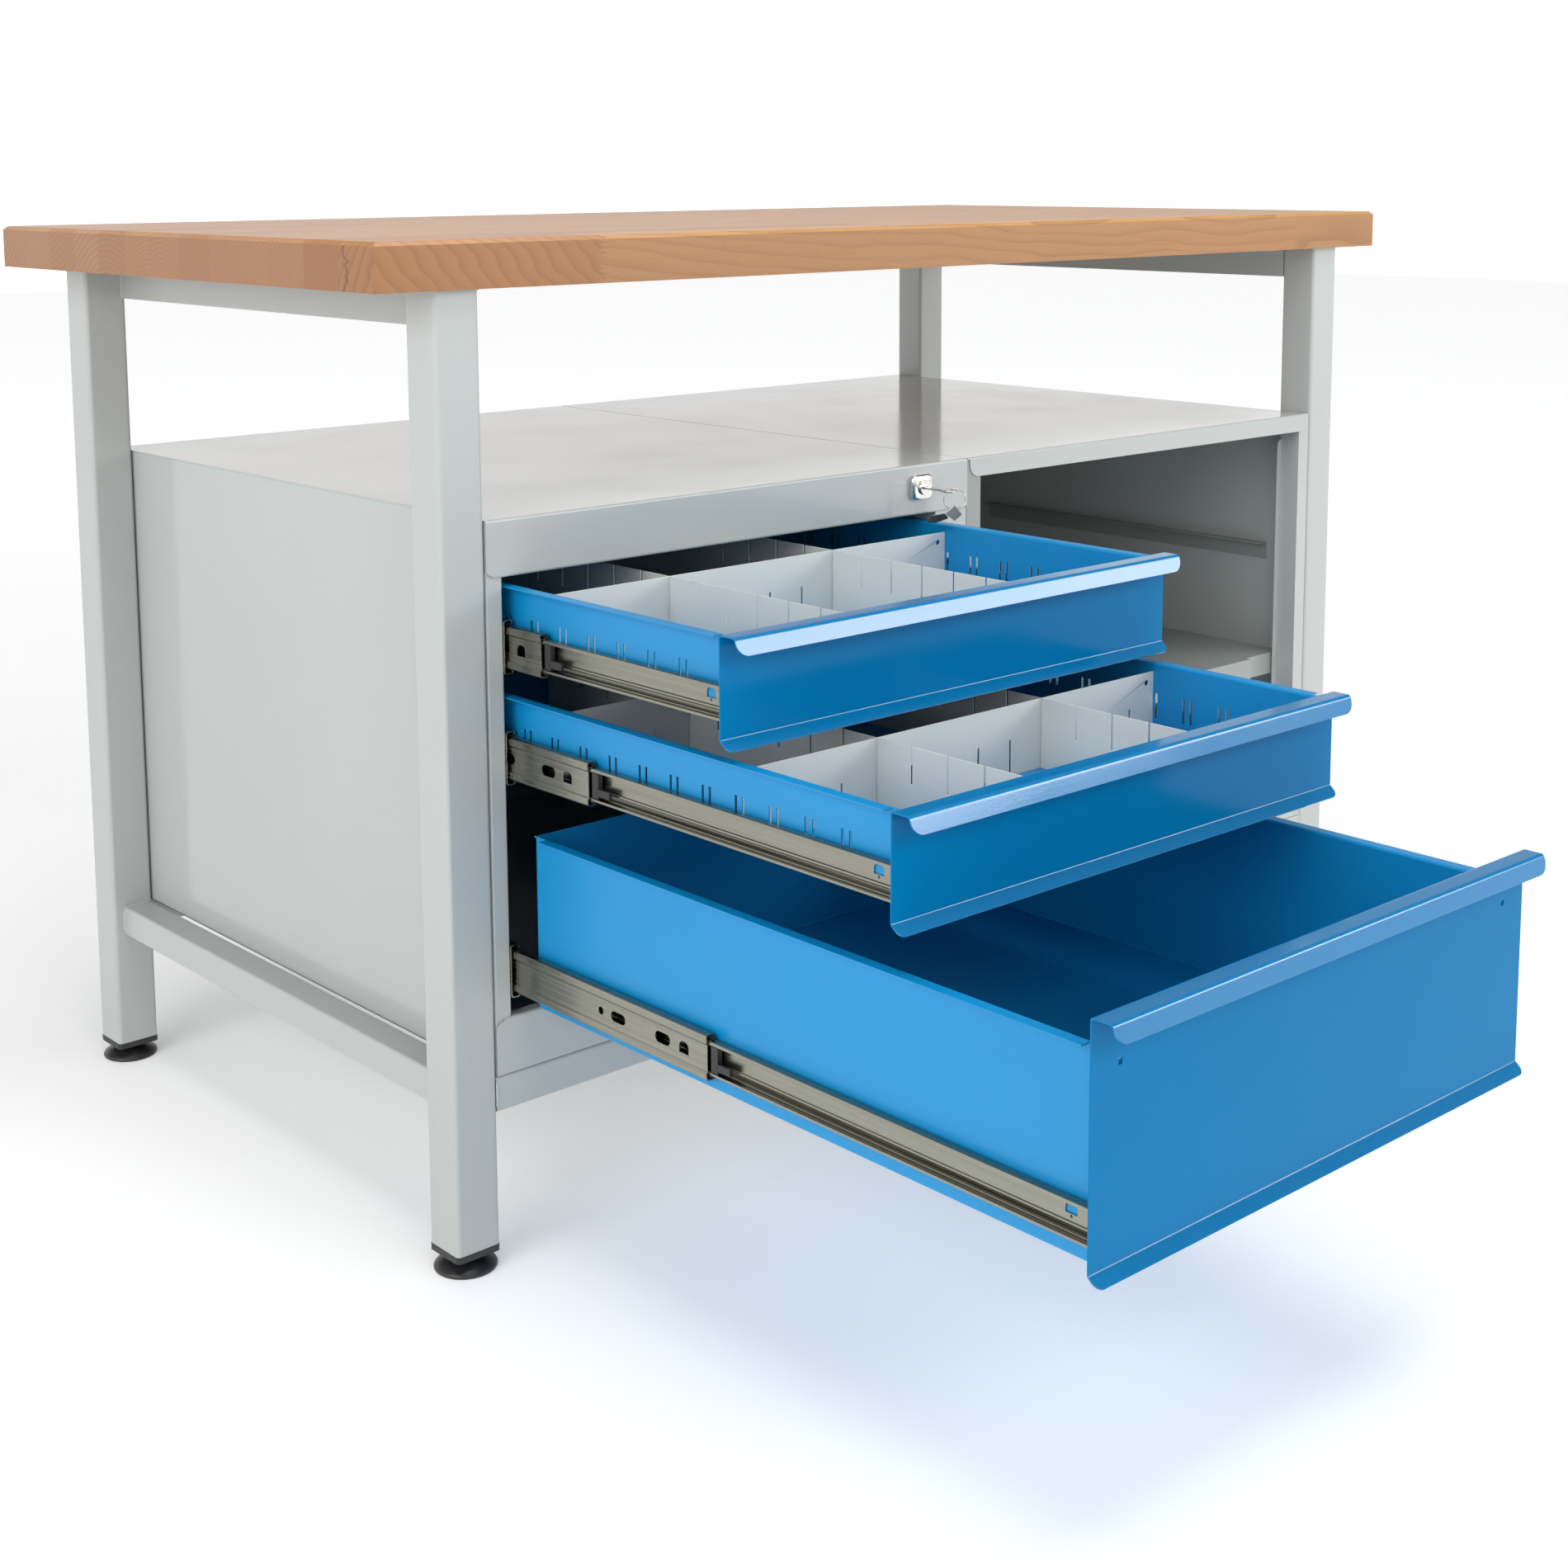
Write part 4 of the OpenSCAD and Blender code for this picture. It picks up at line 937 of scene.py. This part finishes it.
# Half a section of each member: distance from the mounting face and height, in millimetres
DRAWER_UPPER = ((4.9, 10.9), (4.9, 12.9), (12.1, 12.9), (12.1, 9.6))
DRAWER_LOWER = (
    (12.1, -2.4), (12.1, -4.4), (11.2, -5.2), (11.2, -6.2), (12.1, -7.0),
    (12.1, -12.9), (4.9, -12.9), (4.9, -10.9),
)
DRAWER_WEB = (12.1, -2.4, 9.6)
MIDDLE_UPPER = ((9.6, 14.6), (9.6, 17.4), (2.8, 17.4), (2.8, 11.6), (3.9, 10.2), (3.9, 8.6))
MIDDLE_WEB = (3.9, -8.6, 8.6)
CABINET_UPPER = ((8.4, 18.9), (8.4, 21.9), (0.6, 21.9), (0.6, 11.0))
CABINET_WEB = (0.6, -11, 11)
CABINET_WINDOWS = (60, 160, 320, 430)


def channel_half(mesh, face, side, section, radii, front, back, centre):
    """Half a member's section, carried along the slide; side is 1 for the left slide of a pair
    and -1 for the right one, and radii are those of the section's corners, in millimetres."""
    corners = [(face + side * out * MM, centre + height * MM) for out, height in section]
    folded(mesh, turned(corners, [radius * MM for radius in radii], 4), front, back, "y")


def web_plate(mesh, face, side, web, front, back, centre, windows):
    """The flat middle of a member, with windows in it."""
    out, low, high = (value * MM for value in web)
    outline = [
        (front, centre + low), (back, centre + low), (back, centre + high), (front, centre + high),
    ]
    plate(mesh, [outline, *windows], face + side * out, "x")


def window(start, centre, half=WINDOW_HALF, radius=WINDOW_ROUND):
    """A long hole that starts at a place along the slide."""
    return rounded_box(start, centre - half, start + WINDOW_LONG, centre + half, radius)


def drawer_member(mesh, face, side, front, back, centre):
    """The channel on the drawer's wall: lips towards the cabinet, a rib along it and windows."""
    channel_half(mesh, face, side, DRAWER_UPPER, (0.7, 1.7), front, back, centre)
    channel_half(mesh, face, side, DRAWER_LOWER, (0.3, 0.3, 0.3, 0.3, 1.7, 0.7), front, back, centre)
    windows = [
        arched(front + 17 * MM, centre + 0.6 * MM, front + 27 * MM, centre + 8.0 * MM, 3.6 * MM),
        ring_of(1.1 * MM, 12, front + 22 * MM, centre - 1.0 * MM),
        rounded_box(back - 40 * MM, centre, back - 20 * MM, centre + 7 * MM, 3.4 * MM),
    ]
    web_plate(mesh, face, side, DRAWER_WEB, front, back, centre, windows)
    web, lip = face + side * 12.1 * MM, face + side * 4.9 * MM
    end = front + SLIDE_SHEET / 2
    tab = turned([(web, front + 5 * MM), (web, end), (lip, end)], 1.2 * MM, 4)
    folded(mesh, tab, centre - 10.4 * MM, centre + 8 * MM, "z")


def middle_member(mesh, face, side, front, back, centre):
    """The intermediate channel, with its middle band set back and its windows."""
    lower = [(out, -height) for out, height in MIDDLE_UPPER]
    for section in (MIDDLE_UPPER, lower):
        channel_half(mesh, face, side, section, (0.8, 2.0, 0.6, 0.6), front, back, centre)
    windows = [
        arched(front + 22 * MM, centre - 4.5 * MM, front + 33 * MM, centre + 4.8 * MM, 4.4 * MM),
        window(front + 44 * MM, centre),
        window(front + 99 * MM, centre, 4.2 * MM, 4.1 * MM),
        ring_of(3.2 * MM, 20, front + 130 * MM, centre),
        window(back - 60 * MM, centre),
    ]
    web_plate(mesh, face, side, MIDDLE_WEB, front, back, centre, windows)


def cabinet_member(mesh, face, side, front, back, centre):
    """The outer channel, screwed to the cabinet."""
    lower = [(out, -height) for out, height in CABINET_UPPER]
    for section in (CABINET_UPPER, lower):
        channel_half(mesh, face, side, section, (0.8, 2.0), front, back, centre)
    windows = [window(front + start * MM, centre) for start in CABINET_WINDOWS]
    web_plate(mesh, face, side, CABINET_WEB, front, back, centre, windows)


def slide_pair(name, member, places, front, back, body, node):
    """Left and right members at each place, joined at their shared edges into one piece."""
    mesh = bmesh.new()
    for left, right, centre in places:
        member(mesh, left, 1, front, back, centre)
        member(mesh, right, -1, front, back, centre)
    bmesh.ops.remove_doubles(mesh, verts=mesh.verts, dist=1e-6)
    sheet_piece(name, mesh, SLIDE_SHEET, "slide_zinc", body, [node])


def slide_members(label):
    """The members that move with one drawer; gives the mounting faces and the middle height."""
    node = "drawer_slide_members_" + label
    low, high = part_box(node)
    place = (low.x - SLIDE_BACK, high.x + SLIDE_BACK, (low.z + high.z) / 2)
    slide_pair(label + "_drawer_slides", drawer_member, [place], low.y, high.y, "drawer_" + label, node)
    node = "middle_slide_members_" + label
    low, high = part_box(node)
    slide_pair(label + "_middle_slides", middle_member, [place], low.y, high.y, "slide_" + label, node)
    return place


def cabinet_slides(places):
    low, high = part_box("cabinet_slide_members")
    slide_pair("cabinet_slides", cabinet_member, places, low.y, high.y, "frame", "cabinet_slide_members")


# Boxes of a stop, each from and to: distance from the mounting face, place along the slide from
# the stop's own, and height from the slide's middle, in millimetres
STOP_AT = 24 * MM
STOP_BLOCKS = (
    (4.6, 5.5, -3, 16, -16.2, 16.2),
    (4.6, 9.4, -10, 4, -10.4, 10.4),
    (4.6, 7.4, -24, -9, -8, -2),
    (4.6, 8.4, -3, 16, 14, 16.2),
    (4.6, 8.4, -3, 16, -16.2, -14),
)
STOP_TEETH = 7
TOOTH_PITCH = 1.9


def slide_stops(label, left, right, centre):
    """Black guides at the intermediate members' front ends, with fine teeth."""
    node = "slide_stops_" + label
    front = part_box(node)[0].y + STOP_AT
    blocks = list(STOP_BLOCKS)
    for tooth in range(STOP_TEETH):
        along = tooth * TOOTH_PITCH
        blocks.append((9.0, 9.9, along - 9.4, along - 8.5, -9.6, 9.6))
    mesh = bmesh.new()
    for face, side in ((left, 1), (right, -1)):
        for near, far, start, end, base, top in blocks:
            low_x, high_x = sorted((face + side * near * MM, face + side * far * MM))
            block(mesh, (low_x, front + start * MM, centre + base * MM),
                  (high_x, front + end * MM, centre + top * MM))
    soften(piece(label + "_slide_stops", mesh, "stop_plastic", "slide_" + label, [node]), 0.3 * MM)


# ---- feet and welds ------------------------------------------------------

# Radius and height in millimetres, from under the pad up to the stud
PAD_PROFILE = (
    (0.2, 0.6), (17, 0.6), (18, 0), (24.6, 0), (25.9, 0.4), (26.5, 1.4), (26.5, 2.4), (26.1, 3.3),
    (25.0, 4.6), (23.0, 6.0), (20.0, 7.5), (16.5, 8.8), (13.0, 10.0), (10.6, 11.3), (9.4, 12.6),
    (9.0, 13.6), (8.6, 14.1), (5.4, 14.2),
)
THREAD_START = 14.6
THREAD_ROOM = 16
THREAD_PITCH = 1.5
THREAD_CREST = 4.9
THREAD_ROOT = 4.25
BEAD_RADIUS = 1.5 * MM
THIN_BEAD = 0.8
BEAD_STEP = 0.55 * MM
BEAD_CLEAR = 4 * MM


def foot(label):
    """A domed pad with its hub, on a threaded stud."""
    low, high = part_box("foot_" + label)
    centre = ((low.x + high.x) / 2, (low.y + high.y) / 2, 0)
    tall = high.z / MM
    profile = list(PAD_PROFILE)
    for turn in range(int((tall - THREAD_ROOM) / THREAD_PITCH)):
        base = THREAD_START + turn * THREAD_PITCH
        profile += [(THREAD_CREST, base), (THREAD_CREST, base + 0.25)]
        profile += [(THREAD_ROOT, base + 0.75), (THREAD_ROOT, base + 1.0)]
    profile += [(4.2, tall - 0.6), (3.6, tall)]
    mesh = bmesh.new()
    lathed(mesh, [(r * MM, z * MM) for r, z in profile], centre)
    thing = piece("levelling_foot_" + label, mesh, "foot_plastic", "foot_" + label, ["foot_" + label])
    soften(thing, 0.2 * MM, 2, 50)


def bead(mesh, start, end, radius, seed):
    """One weld bead: a slightly uneven rod with the ripples of the weld pool."""
    dice = random.Random(seed)
    start, end = Vector(start), Vector(end)
    steps = max(6, int((end - start).length / BEAD_STEP))
    sizes = [dice.uniform(0.92, 1.08) for _ in range(steps + 1)]
    points = [start.lerp(end, i / steps) for i in range(steps + 1)]

    def thickness(i):
        ripple = 1 + 0.10 * math.sin(i * 1.5)
        taper = min(1.0, 0.45 + 0.2 * min(i, steps - i))
        return radius * ripple * sizes[i] * taper

    tube(mesh, points, thickness, 8)


def weld_lines():
    """Both ends and the radius of each bead: beside and over the side rails' ends, beside the
    angle bars' ends, and beside the front and rear rails' ends."""
    rail_low, rail_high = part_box("lower_rail_left")
    bar_low, bar_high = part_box("top_rail_left")
    front_low, front_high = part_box("lower_rail_front")
    thin = BEAD_RADIUS * THIN_BEAD
    lines = []
    for side in (1, -1):
        for y in (rail_low.y + 0.3 * MM, rail_high.y - 0.3 * MM):
            low_z, high_z = rail_low.z + BEAD_CLEAR, rail_high.z - BEAD_CLEAR
            for x in (side * (rail_low.x + 0.4 * MM), side * (rail_high.x - 0.4 * MM)):
                lines.append(((x, y, low_z), (x, y, high_z), BEAD_RADIUS))
            over = rail_high.z - 0.2 * MM
            near, far = side * (rail_low.x + BEAD_CLEAR), side * (rail_high.x - BEAD_CLEAR)
            lines.append(((near, y, over), (far, y, over), thin))
        x = side * (bar_low.x + 0.2 * MM)
        for y in (bar_low.y + 0.3 * MM, bar_high.y - 0.3 * MM):
            lines.append(((x, y, bar_low.z + 1 * MM), (x, y, bar_high.z - 1 * MM), BEAD_RADIUS))
        x = side * (front_high.x - 0.3 * MM)
        for y in (front_low.y + 0.5 * MM, -front_low.y - 0.5 * MM):
            lines.append(((x, y, front_low.z + BEAD_CLEAR), (x, y, front_high.z - BEAD_CLEAR), thin))
    return lines


def weld_beads():
    mesh = bmesh.new()
    for seed, (start, end, radius) in enumerate(weld_lines(), 1):
        bead(mesh, start, end, radius, seed)
    piece("weld_beads", mesh, "frame_paint", "frame")


# ---- lock and keys -------------------------------------------------------

LOCK_WIDE = 27 * MM
LOCK_TALL = 24 * MM
LOCK_POWER = 5.0
CORE_HOLE = 7.1 * MM
BARREL_WALL = 1.9 * MM
# Inset of the square in millimetres, share of the way to the core's hole, and share of the height
LOCK_DOME = (
    (0.0, 0.0, 0.0), (0.0, 0.0, 0.45), (0.15, 0.0, 0.62), (0.6, 0.0, 0.74), (1.4, 0.0, 0.84),
    (2.6, 0.10, 0.91), (3.8, 0.25, 0.96), (4.2, 0.50, 0.99), (4.4, 0.78, 1.0), (4.4, 0.94, 0.99),
    (4.4, 1.0, 0.93),
)
BOW_RADIUS = 7.2 * MM
BOW_HOLE = 3.2 * MM
BOW_OPEN = (115, 425)
KEY_CUTS = 5
RING_HEADING = -41.8
RING_RADIUS = 10 * MM
RING_WIRE = 0.5 * MM
RING_PITCH = 0.72 * MM
RING_TURNS = 1.93
RING_STEPS = 150


def lock_outline(shrink, share, count=96):
    """Points round the housing: from its round-cornered square, share 0, to its hole, share 1."""
    wide, tall = LOCK_WIDE / 2 - shrink, LOCK_TALL / 2 - shrink
    points = []
    for i in range(count):
        turn = 2 * math.pi * i / count
        heading = Vector((math.cos(turn), math.sin(turn)))
        powers = abs(heading.x / wide) ** LOCK_POWER + abs(heading.y / tall) ** LOCK_POWER
        size = powers ** (-1 / LOCK_POWER)
        size += (CORE_HOLE - size) * share
        points.append(heading * size)
    return points


def lock_housing():
    """The domed square face and the barrel behind it, with a hole for the core."""
    low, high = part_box("lock_housing")
    core_low, core_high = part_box("lock_core")
    x, z = (core_low.x + core_high.x) / 2, (core_low.z + core_high.z) / 2
    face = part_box("drawer_cabinet_top")[0].y
    depth = face - low.y
    mesh = bmesh.new()
    rows = []
    for shrink, share, height in LOCK_DOME:
        loop = lock_outline(shrink * MM, share)
        rows.append([mesh.verts.new((x + p.x, face - depth * height, z + p.y)) for p in loop])
    rows.append([mesh.verts.new((x + p.x, high.y, z + p.y)) for p in lock_outline(0, 1)])
    barrel = ring_of(CORE_HOLE + BARREL_WALL, len(rows[0]))
    for along in (high.y, face):
        rows.append([mesh.verts.new((x + a, along, z + b)) for a, b in barrel])
    skin(mesh, rows + rows[:1])
    thing = piece("lock_face", mesh, "lock_chrome", "frame", ["lock_housing"])
    soften(thing, 0.2 * MM, 2, 50)


def key_piece():
    """The turned key: a bow with its hole, a shoulder and a blade with cuts."""
    low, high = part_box("key")
    x = (low.x + high.x) / 2
    z = (low.z + high.z) / 2
    bow = low.y + BOW_RADIUS
    outline = ring_of(BOW_RADIUS, 26, x, bow, *BOW_OPEN)
    outline += [(x + 4.0 * MM, bow + 9 * MM), (x + 4.0 * MM, bow + 24 * MM), (x + 3.9 * MM, high.y - 18 * MM)]
    for cut in range(KEY_CUTS):
        base = high.y - (16 - cut * 2.8) * MM
        depth = (2.6 - 0.3 * (cut % 3)) * MM
        outline += [(x + 3.9 * MM, base), (x + depth, base + 1.0 * MM), (x + 3.9 * MM, base + 2.0 * MM)]
    outline += [(x + 3.0 * MM, high.y - 0.8 * MM), (x, high.y)]
    outline += [(x - 4.0 * MM, high.y - 2.5 * MM), (x - 4.0 * MM, bow + 9 * MM)]
    mesh = bmesh.new()
    plate(mesh, [outline, ring_of(BOW_HOLE, 24, x, bow)], z, "z")
    sheet_piece("turned_key", mesh, high.z - low.z, "key_nickel", "key", ["key"], 0.35 * MM)


def ring_frame():
    """The ring's centre, its heading in plan and the direction across its plane."""
    low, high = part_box("key_ring")
    turn = math.radians(RING_HEADING)
    heading = Vector((math.cos(turn), math.sin(turn), 0))
    across = Vector((-math.sin(turn), math.cos(turn), 0))
    return (low + high) / 2, heading, across


def key_ring():
    """Wire wound twice, as a split ring is."""
    centre, heading, across = ring_frame()
    mesh = bmesh.new()
    points = []
    for i in range(RING_STEPS + 1):
        turn = 2 * math.pi * RING_TURNS * i / RING_STEPS
        up = Vector((0, 0, RING_RADIUS * math.sin(turn)))
        offset = across * RING_PITCH * (i / RING_STEPS - 0.5)
        points.append(centre + heading * RING_RADIUS * math.cos(turn) + up + offset)
    tube(mesh, points, lambda i: RING_WIRE, 12)
    piece("split_ring", mesh, "key_nickel", "key_ring", ["key_ring"])


def on_ring(mesh, points, thickness, radius):
    """Adds a closed plate in the ring's plane, from points given in millimetres."""
    centre, heading, across = ring_frame()
    half = thickness / 2 * MM
    corners = turned([points[-1], *points, points[0]], radius, 4)[1:-1]
    middle = sum(corners, Vector((0, 0))) / len(corners)
    loops = []
    for inset, depth in ((0.35, -1.0), (0.0, -0.72), (0.0, 0.72), (0.35, 1.0)):
        loop = []
        for corner in corners:
            shrunk = corner + (middle - corner).normalized() * inset
            up = Vector((0, 0, shrunk.y * MM))
            loop.append(centre + heading * shrunk.x * MM + up + across * half * depth)
        loops.append(loop)
    stacked(mesh, loops)


def spare_key():
    """The folded clip on the ring and the plastic head of the spare key under it."""
    mesh = bmesh.new()
    on_ring(mesh, [(0, -5), (7, -14), (0, -20), (-9, -13)], 4, 0.8)
    soften(piece("folded_clip", mesh, "key_nickel", "key_ring", ["spare_key_clip"]), 0.2 * MM)
    mesh = bmesh.new()
    on_ring(mesh, [(-5, -17.4), (-9.4, -13.2), (-22, -15.5), (-27, -21.5), (-18, -22)], 3.6, 1.4)
    soften(piece("spare_key_head", mesh, "key_plastic", "key_ring", ["spare_key"]), 0.2 * MM)


# ---- the whole bench -----------------------------------------------------

def build():
    make_camera()
    make_world()
    make_floor()
    for name, settings in SOFT_BOXES.items():
        soft_box(name, *settings)
    dress_kept_nodes()
    drawer_cabinet_top()
    drawer_cabinet_left()
    drawer_cabinet_floor()
    shelf_cabinet_top()
    places = []
    for label in DRAWERS:
        drawer_front(label, label == "bottom")
        drawer_box(label, label != "bottom")
        place = slide_members(label)
        slide_stops(label, *place)
        places.append(place)
    cabinet_slides(places)
    for label in CORNERS:
        foot(label)
    weld_beads()
    lock_housing()
    key_piece()
    key_ring()
    spare_key()


bpy.context.scene.view_settings.view_transform = "Standard"
build()
